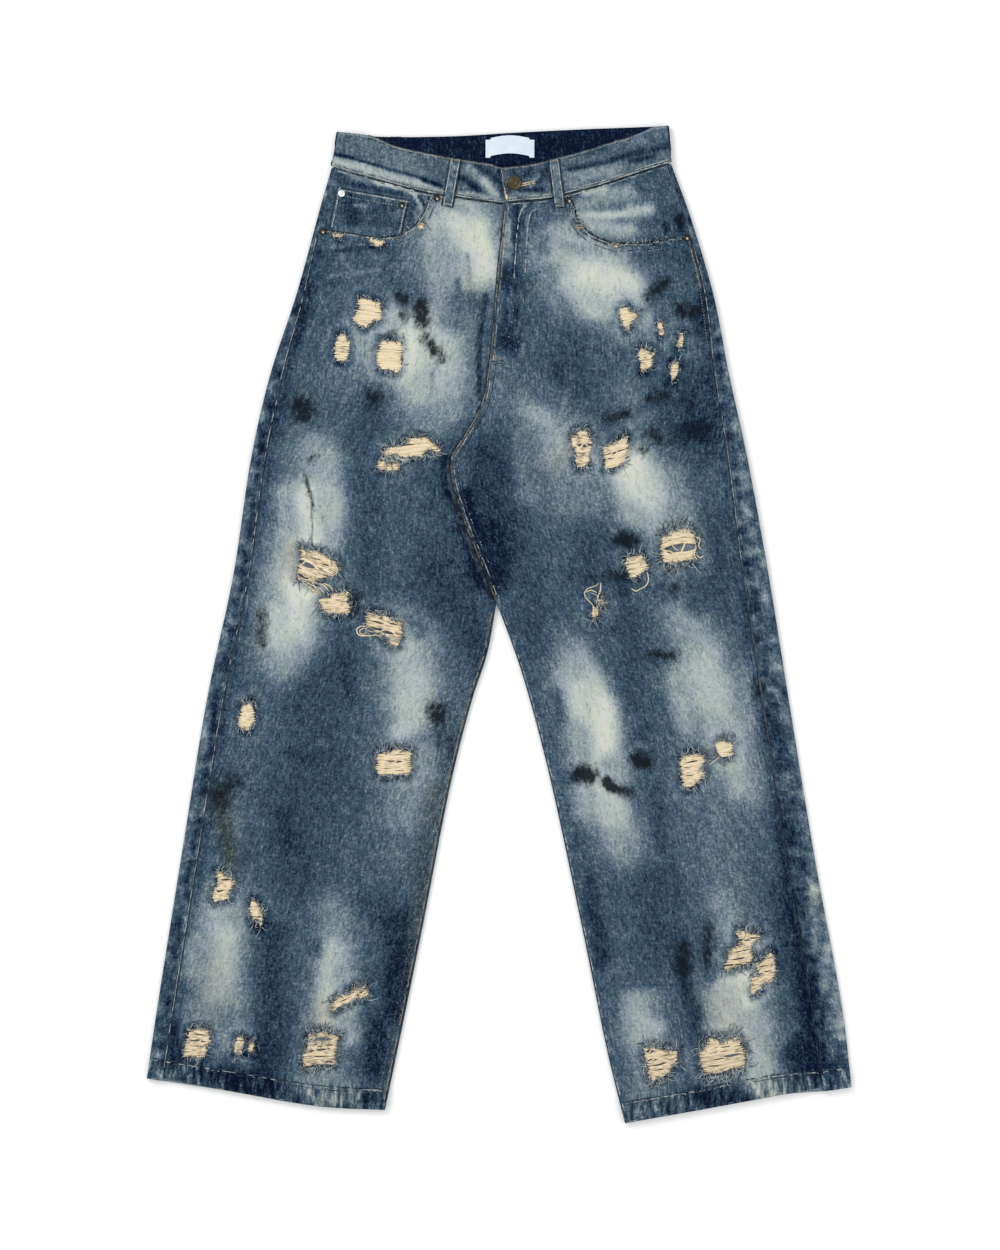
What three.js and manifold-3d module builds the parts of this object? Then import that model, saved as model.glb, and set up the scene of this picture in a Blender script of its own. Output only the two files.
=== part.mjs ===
// A pair of baggy five-pocket jeans, laid flat and face up. Millimetres, +Z up, the waist towards +Y.
// The wearer's right is on the -X side. The origin is under the middle of the whole outline.
//
// Each leg is a flattened tube. Its back panel lies on the ground, turns up round the outer side and
// ends on top at the outseam, where the front panel starts. The front panel lies on the back panel.
// The seat, the yokes and the waistband are lifted by the back pockets and belt loops under them.
import * as THREE from "three";
import Module from "manifold-3d";

// Cloth
const CLOTH = 1.6; // one layer of heavy denim, with its seam allowances
const HEM_CLOTH = 2.6; // the turned-up hem
const BAND_CLOTH = 2.4; // the doubled waistband
const LABEL_CLOTH = 0.8;
const GAP = 0.3; // between two layers that lie on each other
const SEAM_GAP = 0.35; // between two pieces side by side at a seam
const FRONT_GAP = SEAM_GAP / 2 + 0.05; // from a front panel to the middle line, where both curve
const HEM_DEPTH = 25;
const HEM_STEP = 2; // the length in which the cloth thickens to the hem

// Heights
const LIFT = CLOTH + GAP; // what the back pockets and loops raise the seat by
const LIFT_FROM = -150; // the lift starts here, between the legs
const LIFT_TO = 150; // and is full here
const PUFF = 1.8; // how far air holds the middle of a front panel up
const POCKET_RISE = CLOTH + GAP; // the front panel passes over the pocket facing
const RISE_FLAT = 40; // it keeps that height for this far from the mouth
const RISE_END = 110; // and is down again here
const FREE_SIDE = 0.22; // the share of a front's width over which its middle comes free at each side
const FREE_TOP = 0.12; // and of its length at the waist
const FREE_HEM = 0.1; // and at the hem

// Rows along a leg and columns across it
const SEAT_ROWS = 15;
const LEG_ROWS = 15;
const MOUTH_COLUMNS = 8;
const CORNER_CLEAR = 9.2; // the front's corners stand this far from the next point of the band's seam
const BACK_COLUMNS = 6;
const TURN_STEPS = 5;

// Waistband
const UNDERLAP = 44; // the buttoned end under the buttonhole end
const LAP_TOP = [[UNDERLAP, 524], [UNDERLAP / 2, 521.5]];
const LAP_SEAM = [[UNDERLAP, 486], [UNDERLAP / 2, 483.5]];
const RAMP = 35; // the length in which the buttonhole end climbs on to it
const RAMP_START = UNDERLAP + 6;
const BAND_TURN_STEPS = 6;
const BACK_BAND_STEPS = 14;
const YOKE_DROP = 2.2; // the yokes turn up at the sides just below the band, which slopes there
const YOKE_SHARE = 0.83; // of the first stretch of the side, from the band to the back panel

// Hip pockets
const FACING_UNDERLAP = 12; // how far a facing goes on under the front panel
const FACING_IN = 1; // from the folded side of the yoke
const FACING_CLEAR = 0.7; // below the waistband's seam
const FACING_CORNER_CLEAR = 3.2; // the same at the outer corner, where the band slopes most
const FACING_ROWS = 4;
const FACING_COLUMNS = 8;
const COIN_TOP = [[-184, 497], [-104, 482.5]];
const COIN_BOTTOM = [[-193, 448.6], [-165, 444.8], [-147, 442.2], [-131, 441.4], [-112, 444]];
const COIN_ROWS = 2;
const COIN_COLUMNS = 5;

// Belt loops: the top and bottom of each front one, and the top of each back one
const LOOP_WIDTH = 12;
const LOOP_LENGTH = 54;
const FRONT_LOOPS = {
  belt_loop_front_right: [[-49.5, 530], [-59, 476]],
  belt_loop_front_left: [[62, 529], [69, 475]],
};
const BACK_LOOPS = {
  belt_loop_side_right: [-118, 556],
  belt_loop_centre: [13, 560],
  belt_loop_side_left: [128, 564.5],
};

// The label inside the back of the waistband. Its two ends are folded under as short tabs.
const LABEL = { left: -15.5, right: 40, low: 531.5, high: 554, tab: 5.5, notch: 2, arch: 3 };
const LABEL_STEPS = 6;

// Button and rivets
const BUTTON = [17.5, 502.5];
const BUTTON_RADIUS = 8.5;
const BUTTON_HEIGHT = 3;
const NECK_RADIUS = 1.6;
const HOLE_WIDTH = 3.9;
const HOLE_LENGTH = 22;
const HOLE_END_CLEAR = 0.4; // from the neck to the end of the buttonhole
const RIVET_RADIUS = 4.5;
const RIVET_HEIGHT = 1.4;
const RIVETS = {
  rivet_coin_side: [-179.5, 490.5],
  rivet_coin_front: [-111, 477],
  rivet_mouth_right: [-71, 485],
  rivet_side_right: [-201, 447],
  rivet_mouth_left: [79.5, 482.5],
  rivet_side_left: [213.5, 440],
};
const ROUND_SIDES = 16;

// Back pockets
const BACK_POCKET_WIDTH = 152;
const BACK_POCKET_TAPER = 0.94; // the width at the lower corners, as a share of the top
const BACK_POCKET_DEPTH = 165;
const BACK_POCKET_POINT = 28;
const BACK_POCKET_TOP = 424;
const BACK_POCKET_X = 104;

// The outline. Each list runs from the waist to the hem, or from the side to the middle.
const CROTCH = [-3, 24];
const FLY = [[7, 479.5], [-3, 384], [-7, 336], [-13, 284], [-21, 248], [-39, 216], [-55, 187],
  [-44, 130], [-19, 66], CROTCH];
const BACK_SEAM = [[1, 436], CROTCH];
const RIGHT = {
  side: [[-191, 522], [-206, 467], [-231, 376], [-261, 284], [-282, 193], [-303, 56], [-332, -80],
    [-362, -263], [-391, -445], [-401.5, -517]],
  inner: [CROTCH, [-14, -35], [-29, -80], [-53, -172], [-89, -354], [-117, -491], [-130, -553]],
  hem: [[-401.5, -517], [-293, -534], [-204, -549], [-130, -553]],
  bandTop: [[-184, 561], [-145, 556], [-120, 545.5], [-78, 536], [-43, 529.5], [-9, 524], [2, 520]],
  bandSeam: [[-191, 522], [-136, 506.5], [-83, 492.7], [-48, 487.4], [5, 480]],
  mouth: [[-203, 449], [-177, 445.5], [-147, 440.7], [-131, 440], [-112, 442.3], [-104, 447.2],
    [-92.6, 456.8], [-84.6, 469.6], [-76.7, 490.5]],
  bandSteps: 10,
  // how far the outseam lies in from the side, at fractions of the way down
  seamIn: [[0, 4], [0.08, 8], [0.23, 16], [0.5, 19], [1, 19]],
};
const LEFT = {
  side: [[196, 526.5], [217, 467], [244, 376], [262, 284], [282, 193], [307, 56], [329, -80],
    [359, -263], [392, -445], [401.5, -527]],
  inner: [CROTCH, [19, -35], [33, -80], [57, -172], [96, -354], [124, -491], [143, -568]],
  hem: [[401.5, -527], [375, -531], [320, -536], [217, -555], [143, -568]],
  bandTop: [[192, 568], [175, 566], [158, 558.4], [128, 549.3], [95, 539], [77, 534], [55, 528.4],
    [43, 525], [3, 520]],
  bandSeam: [[196, 526.5], [179, 521.6], [145, 510.7], [112, 500], [78, 491.5], [62, 486.6],
    [9, 481.5]],
  mouth: [[214, 442], [195, 438.8], [175, 434.7], [154, 433], [132, 433], [120, 436.3],
    [105, 443], [95, 451.3], [88.4, 460], [85, 471.4], [79, 491]],
  bandSteps: 16,
  seamIn: [[0, 6], [0.1, 10], [0.2, 17], [0.4, 29], [1, 34]],
};
const BACK_TOP = [[-184, 561], [-144, 556], [-56, 556], [15, 560], [95, 564], [174, 567], [192, 568]];
const BACK_BAND_SEAM = [[-191, 522], [0, 520], [196, 526.5]];

// Broad folds of the fronts: where each starts and ends, its height and its half width
const FOLDS = [
  [-70, 200, -215, 120, 1.4, 26],
  [-75, 150, -230, 10, 1.2, 24],
  [-120, -40, -290, -95, 1.3, 28],
  [-110, -150, -300, -190, 1.0, 26],
  [-175, -250, -330, -330, 1.2, 30],
  [-45, 205, 120, 250, 1.0, 24],
  [30, 150, 210, 60, 1.4, 26],
  [70, 20, 250, -40, 1.2, 28],
  [90, -120, 280, -160, 1.2, 26],
  [140, -260, 320, -320, 1.2, 30],
];

const wasm = await Module();
wasm.setup();

// ---- small helpers ----

const clamp = (value) => Math.min(Math.max(value, 0), 1);
const smooth = (value) => clamp(value) ** 2 * (3 - 2 * clamp(value));
const mix = (a, b, t) => a.map((value, axis) => value + (b[axis] - value) * t);
const shift = (point, direction, distance) => [
  point[0] + direction[0] * distance,
  point[1] + direction[1] * distance,
];

function curve(points) {
  const corners = points.map(([x, y]) => new THREE.Vector3(x, y, 0));
  return new THREE.CatmullRomCurve3(corners, false, "centripetal");
}

/** Points at equal steps along a smooth curve. */
function spread(points, steps) {
  return curve(points).getSpacedPoints(steps).map((point) => [point.x, point.y]);
}

/** The same down to the top of the hem, then one short step, then the edge of the hem. */
function spreadToHem(points, steps) {
  const line = curve(points);
  const length = line.getLength();
  const top = 1 - HEM_DEPTH / length;
  const stops = Array.from({ length: steps + 1 }, (_, row) => (row / steps) * top);
  stops.push(top + HEM_STEP / length, 1);
  return stops.map((stop) => line.getPointAt(stop)).map((point) => [point.x, point.y]);
}

/** The value at t of a table of [t, value] pairs, eased between them. */
function eased(table, t) {
  const next = Math.max(1, table.findIndex(([stop]) => stop >= t));
  const [t0, v0] = table[next - 1];
  const [t1, v1] = table[next];
  return v0 + (v1 - v0) * smooth((t - t0) / (t1 - t0));
}

function distanceToSegment(point, start, end) {
  const along = [end[0] - start[0], end[1] - start[1]];
  const offset = [point[0] - start[0], point[1] - start[1]];
  const t = clamp((offset[0] * along[0] + offset[1] * along[1]) / (along[0] ** 2 + along[1] ** 2));
  return Math.hypot(offset[0] - along[0] * t, offset[1] - along[1] * t);
}

function distanceToLine(point, line) {
  return Math.min(...line.slice(1).map((end, i) => distanceToSegment(point, line[i], end)));
}

/** The unit direction from one point to another. */
function heading(from, to) {
  const length = Math.hypot(to[0] - from[0], to[1] - from[1]);
  return [(to[0] - from[0]) / length, (to[1] - from[1]) / length];
}

/** Fills the inside of four border lines. The first and last columns are left and right. */
function patch(top, bottom, left, right) {
  const rows = left.length - 1;
  const columns = top.length - 1;
  return left.map((_, row) => top.map((__, column) => {
    const v = row / rows;
    const u = column / columns;
    return [0, 1].map((axis) => {
      const down = (1 - v) * top[column][axis] + v * bottom[column][axis];
      const across = (1 - u) * left[row][axis] + u * right[row][axis];
      const upper = (1 - u) * top[0][axis] + u * top[columns][axis];
      const lower = (1 - u) * bottom[0][axis] + u * bottom[columns][axis];
      return down + across - (1 - v) * upper - v * lower;
    });
  }));
}

/** A closed wall between two grids of points, one for each face. */
function wall(outer, inner) {
  const rows = outer.length;
  const columns = outer[0].length;
  const count = rows * columns;
  const at = (row, column, face) => face * count + row * columns + column;
  const index = [];
  const quad = (a, b, c, d) => index.push(a, b, c, a, c, d);
  for (let row = 0; row < rows - 1; row += 1) {
    for (let column = 0; column < columns - 1; column += 1) {
      quad(at(row, column, 0), at(row + 1, column, 0), at(row + 1, column + 1, 0), at(row, column + 1, 0));
      const [a, b] = [at(row, column, 1), at(row + 1, column, 1)];
      const [c, d] = [at(row + 1, column + 1, 1), at(row, column + 1, 1)];
      index.push(a, c, b, a, d, c);
    }
    quad(at(row, 0, 0), at(row, 0, 1), at(row + 1, 0, 1), at(row + 1, 0, 0));
    const last = columns - 1;
    quad(at(row, last, 0), at(row + 1, last, 0), at(row + 1, last, 1), at(row, last, 1));
  }
  for (let column = 0; column < columns - 1; column += 1) {
    quad(at(0, column, 0), at(0, column + 1, 0), at(0, column + 1, 1), at(0, column, 1));
    const last = rows - 1;
    quad(at(last, column, 0), at(last, column, 1), at(last, column + 1, 1), at(last, column + 1, 0));
  }
  const points = [...outer.flat(), ...inner.flat()];
  return solid(points.flat(), index);
}

/** A geometry whose faces point out, whichever way its grid ran. */
function solid(coordinates, index) {
  let volume = 0;
  for (let i = 0; i < index.length; i += 3) {
    const [a, b, c] = [0, 1, 2].map((k) => new THREE.Vector3().fromArray(coordinates, index[i + k] * 3));
    volume += a.dot(b.cross(c));
  }
  const geometry = new THREE.BufferGeometry();
  geometry.setAttribute("position", new THREE.Float32BufferAttribute(coordinates, 3));
  geometry.setIndex(volume > 0 ? index : index.reverse());
  return geometry;
}

/** A geometry as a manifold-3d solid. */
function asManifold(geometry) {
  const vertProperties = new Float32Array(geometry.getAttribute("position").array);
  const triVerts = new Uint32Array(geometry.getIndex().array);
  return new wasm.Manifold(new wasm.Mesh({ numProp: 3, vertProperties, triVerts }));
}

function cut(body, tool) {
  const mesh = asManifold(body).subtract(asManifold(tool)).getMesh();
  const geometry = new THREE.BufferGeometry();
  geometry.setAttribute("position", new THREE.Float32BufferAttribute([...mesh.vertProperties], 3));
  geometry.setIndex([...mesh.triVerts]);
  return geometry;
}

// ---- heights ----

const liftAt = (y) => LIFT * smooth((y - LIFT_FROM) / (LIFT_TO - LIFT_FROM));

function foldAt(point) {
  return FOLDS.reduce((height, [x0, y0, x1, y1, rise, width]) => {
    const distance = distanceToSegment(point, [x0, y0], [x1, y1]);
    return height + rise * Math.exp(-((distance / width) ** 2));
  }, 0);
}

// ---- materials ----

const denim = (color) => new THREE.MeshStandardMaterial({ color, roughness: 0.9, metalness: 0 });
const FADED_DENIM = "#7c8f9c";
const DARK_DENIM = "#3f5468";
const metal = (color) => new THREE.MeshStandardMaterial({ color, roughness: 0.45, metalness: 1 });

const jeans = new THREE.Group();

function add(name, geometry, material) {
  const mesh = new THREE.Mesh(geometry, material);
  mesh.name = name;
  jeans.add(mesh);
}

// ---- the legs ----

/** The borders of a leg, row by row from the yoke to the hem. */
function legBorders(leg) {
  const upper = [leg.side[0], leg.side[1]];
  const yokeEnd = mix(upper[0], upper[1], YOKE_SHARE);
  const side = spreadToHem([yokeEnd, ...leg.side.slice(1)], SEAT_ROWS + LEG_ROWS + 1);
  const tail = spreadToHem(leg.inner, LEG_ROWS).slice(1);
  const back = [...spread(BACK_SEAM, SEAT_ROWS + 1), ...tail];
  const front = [...spread(FLY, SEAT_ROWS), ...tail];
  const seamIn = side.map((_, row) => eased(leg.seamIn, row / (side.length - 1)));
  return { side, back, front, seamIn };
}

const isHem = (row, rows) => row >= rows - 2;

/** One row of a back panel: along the ground, round the side, and back on top to the outseam. */
function backRow(edge, middle, seamIn, cloth) {
  const inward = heading(edge, middle);
  const layers = 2 * cloth + GAP;
  const radius = layers / 2;
  const outer = [];
  const inner = [];
  const floor = liftAt(edge[1]);
  for (let column = 0; column <= BACK_COLUMNS; column += 1) {
    const point = mix(middle, shift(edge, inward, radius), column / BACK_COLUMNS);
    outer.push([...point, liftAt(point[1])]);
    inner.push([...point, liftAt(point[1]) + cloth]);
  }
  for (let step = 1; step <= TURN_STEPS; step += 1) {
    const angle = (step / TURN_STEPS) * Math.PI;
    const place = (r) => [
      ...shift(edge, inward, radius - r * Math.sin(angle)),
      floor + radius - r * Math.cos(angle),
    ];
    outer.push(place(radius));
    inner.push(place(radius - cloth));
  }
  const end = shift(edge, inward, seamIn);
  outer.push([...end, floor + layers]);
  inner.push([...end, floor + layers - cloth]);
  return { outer, inner };
}

function backPanel(edges, middles, seamIn, clothAt) {
  const rows = edges.map((edge, row) => backRow(edge, middles[row], seamIn[row], clothAt(row)));
  return wall(rows.map((row) => row.outer), rows.map((row) => row.inner));
}

/** A front panel, over its back panel, from the outseam to the fly, crotch and inner edge. */
function frontPanel(leg, borders, sign) {
  const seam = borders.side.slice(1).map((edge, row) => {
    const inward = heading(edge, borders.back[row + 1]);
    return shift(edge, inward, borders.seamIn[row + 1] + SEAM_GAP);
  });
  const middle = borders.front.map(([x, y]) => [x + sign * FRONT_GAP, y]);
  const corner = leg.mouth[leg.mouth.length - 1];
  const inFront = ([x]) => Math.abs(x) < Math.abs(corner[0]) - CORNER_CLEAR && Math.abs(x) > CORNER_CLEAR;
  const waist = spread(leg.bandSeam, leg.bandSteps).filter(inFront).map(([x, y]) => [x, y - SEAM_GAP]);
  const top = [
    ...spread([seam[0], ...leg.mouth.slice(1)], MOUTH_COLUMNS),
    ...waist,
    middle[0],
  ];
  const hem = [seam[seam.length - 1], ...leg.hem.slice(1, -1), middle[middle.length - 1]];
  const inside = hem.filter(([x], i) => i === 0 || Math.abs(x) < Math.abs(hem[0][0]) - 1);
  const plan = patch(top, spread(inside, top.length - 1), seam, middle);
  const rows = plan.length;
  const mouth = [seam[0], ...leg.mouth.slice(1)];
  const build = (face) => plan.map((points, row) => points.map((point, column) => {
    const u = column / (points.length - 1);
    const v = row / (rows - 1);
    const cloth = isHem(row, rows) ? HEM_CLOTH : CLOTH;
    const below = isHem(row + 1, rows) ? HEM_CLOTH : CLOTH;
    const free = smooth(u / FREE_SIDE) * smooth((1 - u) / FREE_SIDE)
      * smooth(v / FREE_TOP) * smooth((1 - v) / FREE_HEM);
    const rise = 1 - smooth((distanceToLine(point, mouth) - RISE_FLAT) / (RISE_END - RISE_FLAT));
    const bottom = liftAt(point[1]) + below + GAP + rise * POCKET_RISE
      + free * (PUFF + foldAt(point));
    return [...point, bottom + face * cloth];
  }));
  return wall(build(1), build(0));
}

for (const [name, leg, sign] of [["right", RIGHT, -1], ["left", LEFT, 1]]) {
  const borders = legBorders(leg);
  const rows = borders.side.length;
  const clothAt = (row) => (isHem(row, rows) ? HEM_CLOTH : CLOTH);
  const middles = borders.back.map(([x, y]) => [x + sign * (SEAM_GAP / 2), y]);
  add(`back_${name}`, backPanel(borders.side, middles, borders.seamIn, clothAt), denim(DARK_DENIM));
  add(`front_${name}`, frontPanel(leg, borders, sign), denim(FADED_DENIM));

  // the yoke, between the back panel and the waistband
  const sides = [shift(leg.side[0], [0, -1], YOKE_DROP), shift(borders.side[0], [0, 1], SEAM_GAP)];
  const bandCentre = BACK_BAND_SEAM[1][1] - SEAM_GAP;
  const half = sign * (SEAM_GAP / 2);
  const centre = [[half, bandCentre], [half, borders.back[0][1] + SEAM_GAP]];
  add(
    `yoke_${name}`,
    backPanel(sides, centre, [leg.seamIn[0][1], leg.seamIn[0][1]], () => CLOTH),
    denim(DARK_DENIM),
  );
}

// ---- the hip pockets: the facings that show in them, and the coin pocket ----

const facingFloor = LIFT + CLOTH + GAP;

function facing(leg, sign) {
  const bandEnd = leg.bandSeam.filter(([x]) => Math.abs(x) > Math.abs(leg.mouth.at(-1)[0]) + 1);
  const start = leg.side[0][0] - sign * (leg.seamIn[0][1] + FACING_IN);
  const down = (points, distance) => points.map(([x, y]) => [x, y - distance]);
  const top = [[start, leg.side[0][1] - FACING_CORNER_CLEAR], ...down(bandEnd.slice(1), FACING_CLEAR)];
  const corner = leg.mouth.at(-1);
  top.push([corner[0] - sign * FACING_UNDERLAP, corner[1] - 3]);
  const outline = leg.mouth.slice(1, -1).map((point, i, all) => {
    const next = all[Math.min(i + 1, all.length - 1)];
    const along = heading(all[Math.max(i - 1, 0)], next);
    return shift(point, [along[1] * sign, -along[0] * sign], -FACING_UNDERLAP);
  });
  const bottomStart = [leg.mouth[0][0] - sign * 3, leg.mouth[0][1] - FACING_UNDERLAP];
  const bottom = [bottomStart, ...outline, [top.at(-1)[0] + sign * 2, corner[1] - 16]];
  const left = spread([top[0], bottom[0]], FACING_ROWS);
  const right = spread([top.at(-1), bottom.at(-1)], FACING_ROWS);
  const plan = patch(spread(top, FACING_COLUMNS), spread(bottom, FACING_COLUMNS), left, right);
  const at = (z) => plan.map((row) => row.map((point) => [...point, z]));
  return wall(at(facingFloor + CLOTH), at(facingFloor));
}

add("pocket_facing_right", facing(RIGHT, -1), denim(FADED_DENIM));
add("pocket_facing_left", facing(LEFT, 1), denim(FADED_DENIM));

const coinFloor = facingFloor + CLOTH + GAP;

function coinPocket() {
  const left = spread([COIN_TOP[0], COIN_BOTTOM[0]], COIN_ROWS);
  const right = spread([COIN_TOP[1], COIN_BOTTOM.at(-1)], COIN_ROWS);
  const plan = patch(spread(COIN_TOP, COIN_COLUMNS), spread(COIN_BOTTOM, COIN_COLUMNS), left, right);
  const at = (z) => plan.map((row) => row.map((point) => [...point, z]));
  return wall(at(coinFloor + CLOTH), at(coinFloor));
}

add("coin_pocket", coinPocket(), denim(DARK_DENIM));

// ---- the back pockets, under the back panels ----

function plate(corners, thickness, floor) {
  const shape = new THREE.Shape(corners.map(([x, y]) => new THREE.Vector2(x, y)));
  const geometry = new THREE.ExtrudeGeometry(shape, { depth: thickness, bevelEnabled: false });
  geometry.translate(0, 0, floor);
  return geometry;
}

for (const [name, sign] of [["right", -1], ["left", 1]]) {
  const half = BACK_POCKET_WIDTH / 2;
  const lower = half * BACK_POCKET_TAPER;
  const corners = [
    [-half, 0],
    [-lower, BACK_POCKET_POINT - BACK_POCKET_DEPTH],
    [0, -BACK_POCKET_DEPTH],
    [lower, BACK_POCKET_POINT - BACK_POCKET_DEPTH],
    [half, 0],
  ].map(([x, y]) => [x + sign * BACK_POCKET_X, y + BACK_POCKET_TOP]);
  add(`back_pocket_${name}`, plate(corners, CLOTH, 0), denim(DARK_DENIM));
}

// ---- the waistband: one strip round the waist, with its buttonhole end over its button end ----

const bandLayers = 2 * BAND_CLOTH + GAP;
const bandRadius = bandLayers / 2;
const bandMiddle = LIFT + bandRadius;
const bandTopZ = LIFT + bandLayers;
const lapRise = BAND_CLOTH + GAP;
const bandTopAt = (x) => bandTopZ + lapRise * (1 - smooth((x - RAMP_START) / RAMP));

function waistband() {
  const outer = [];
  const inner = [];
  const station = (top, bottom, outerZ, innerZ) => {
    outer.push([[...top, outerZ], [...bottom, outerZ]]);
    inner.push([[...top, innerZ], [...bottom, innerZ]]);
  };
  const turn = (top, bottom, inward, from, to) => {
    for (let step = 0; step <= BAND_TURN_STEPS; step += 1) {
      const angle = from + ((to - from) * step) / BAND_TURN_STEPS;
      for (const [grid, r] of [[outer, bandRadius], [inner, bandRadius - BAND_CLOTH]]) {
        const along = bandRadius - r * Math.cos(angle);
        const z = bandMiddle + r * Math.sin(angle);
        grid.push([[...shift(top, inward, along), z], [...shift(bottom, inward, along), z]]);
      }
    }
  };
  // the button end, under the buttonhole end, then the right front
  LAP_TOP.forEach((top, i) => station(top, LAP_SEAM[i], bandTopZ, bandTopZ - BAND_CLOTH));
  const rightTop = spread(RIGHT.bandTop, RIGHT.bandSteps).reverse().slice(0, -1);
  const rightSeam = spread(RIGHT.bandSeam, RIGHT.bandSteps).reverse().slice(0, -1);
  rightTop.forEach((top, i) => station(top, rightSeam[i], bandTopZ, bandTopZ - BAND_CLOTH));
  turn(RIGHT.bandTop[0], RIGHT.bandSeam[0], [1, 0], Math.PI / 2, -Math.PI / 2);
  // the back, outer face down
  const [seamRight, seamCentre, seamLeft] = BACK_BAND_SEAM;
  const backTop = spread(BACK_TOP, BACK_BAND_STEPS).slice(1, -1);
  const backSeam = backTop.map((_, i) => {
    const t = (2 * (i + 1)) / BACK_BAND_STEPS;
    return t < 1 ? mix(seamRight, seamCentre, t) : mix(seamCentre, seamLeft, t - 1);
  });
  backTop.forEach((top, i) => station(top, backSeam[i], LIFT, LIFT + BAND_CLOTH));
  turn(LEFT.bandTop[0], LEFT.bandSeam[0], [-1, 0], -Math.PI / 2, Math.PI / 2);
  // the left front, which climbs on to the button end
  const leftTop = spread(LEFT.bandTop, LEFT.bandSteps).slice(1);
  const leftSeam = spread(LEFT.bandSeam, LEFT.bandSteps).slice(1);
  leftTop.forEach((top, i) => {
    const z = bandTopAt(top[0]);
    station(top, leftSeam[i], z, z - BAND_CLOTH);
  });
  return wall(outer, inner);
}

const buttonFloor = bandTopZ + lapRise + GAP;

function buttonhole() {
  const half = HOLE_WIDTH / 2;
  const left = BUTTON[0] - half - HOLE_END_CLEAR;
  const corners = [
    [left, BUTTON[1] - half],
    [left + HOLE_LENGTH, BUTTON[1] - half],
    [left + HOLE_LENGTH, BUTTON[1] + half],
    [left, BUTTON[1] + half],
  ];
  return prism(corners, bandTopZ + GAP / 2, buttonFloor);
}

/** A closed prism with shared corners, for a cut. */
function prism(corners, low, high) {
  const [a, b, c, d] = corners;
  const at = (z) => [[[...a, z], [...b, z]], [[...d, z], [...c, z]]];
  return wall(at(high), at(low));
}

add("waistband", cut(waistband(), buttonhole()), denim(FADED_DENIM));

// ---- the belt loops ----

/** A flat strip along a straight line, with its underside at the heights given. */
function strip(top, bottom, floors) {
  const across = heading(top, bottom);
  const sideways = [-across[1], across[0]];
  const rows = floors.map((floor, row) => {
    const centre = mix(top, bottom, row / (floors.length - 1));
    return [-1, 1].map((side) => [...shift(centre, sideways, (side * LOOP_WIDTH) / 2), floor]);
  });
  return wall(rows.map((row) => row.map(([x, y, z]) => [x, y, z + CLOTH])), rows);
}

const frontTopAtBand = LIFT + CLOTH + GAP + POCKET_RISE + CLOTH;

function frontLoop(top, bottom) {
  const onBand = top[0] < 0 ? bandTopZ : bandTopAt(top[0] - LOOP_WIDTH / 2 - 2);
  const floor = Math.max(onBand, frontTopAtBand) + GAP;
  const end = frontTopAtBand + GAP;
  return strip(top, bottom, [floor, floor, floor, floor, floor, end]);
}

for (const [name, [top, bottom]] of Object.entries(FRONT_LOOPS)) {
  add(name, frontLoop(top, bottom), denim(FADED_DENIM));
}
for (const [name, [x, y]] of Object.entries(BACK_LOOPS)) {
  add(name, strip([x, y], [x, y - LOOP_LENGTH], [0, 0, 0]), denim(DARK_DENIM));
}

// ---- the label inside the back of the waistband, left bare ----

function label() {
  const { left, right, low, high, tab, notch, arch } = LABEL;
  const bow = (y) => Array.from({ length: LABEL_STEPS - 1 }, (_, step) => {
    const t = (step + 1) / LABEL_STEPS;
    return [left + tab + t * (right - left - 2 * tab), y + arch * Math.sin(Math.PI * t)];
  });
  const corners = [
    [left, low], [left + tab, low], [left + tab, low + notch],
    ...bow(low + notch),
    [right - tab, low + notch], [right - tab, low], [right, low],
    [right, high - notch], [right - tab, high],
    ...bow(high).reverse(),
    [left + tab, high], [left, high - notch],
  ];
  return plate(corners, LABEL_CLOTH, LIFT + BAND_CLOTH + GAP);
}

add("label", label(), new THREE.MeshStandardMaterial({ color: "#e4eaf5", roughness: 0.6 }));

// ---- the button and the rivets ----

/** A round piece from its profile, from the axis out and back to the axis. */
function turned(profile, [x, y], floor) {
  const points = profile.map(([radius, z]) => new THREE.Vector2(radius, z));
  const geometry = new THREE.LatheGeometry(points, ROUND_SIDES);
  geometry.rotateX(Math.PI / 2);
  geometry.translate(x, y, floor);
  return geometry;
}

// the neck goes down through the buttonhole to the button end of the band
const button = turned([
  [0, -lapRise],
  [NECK_RADIUS, -lapRise],
  [NECK_RADIUS, 0],
  [BUTTON_RADIUS - 1, 0],
  [BUTTON_RADIUS, 0.9],
  [BUTTON_RADIUS - 0.4, 2],
  [BUTTON_RADIUS * 0.6, BUTTON_HEIGHT - 0.2],
  [0, BUTTON_HEIGHT],
], BUTTON, buttonFloor);
add("button", button, metal("#695a41"));

const rivetFloor = coinFloor + CLOTH + GAP;
for (const [name, place] of Object.entries(RIVETS)) {
  const profile = [
    [0, 0],
    [RIVET_RADIUS, 0],
    [RIVET_RADIUS, 0.4],
    [RIVET_RADIUS * 0.75, 0.9],
    [RIVET_RADIUS * 0.4, RIVET_HEIGHT],
    [0, RIVET_HEIGHT],
  ];
  add(name, turned(profile, place, rivetFloor), metal("#8a8378"));
}

export default jeans;
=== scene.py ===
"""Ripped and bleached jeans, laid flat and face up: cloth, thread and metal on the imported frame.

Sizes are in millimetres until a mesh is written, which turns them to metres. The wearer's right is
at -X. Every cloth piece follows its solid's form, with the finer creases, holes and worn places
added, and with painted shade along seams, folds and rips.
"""

import math

import bmesh
import bpy
import numpy as np
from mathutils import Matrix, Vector, noise
from mathutils.bvhtree import BVHTree


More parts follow.
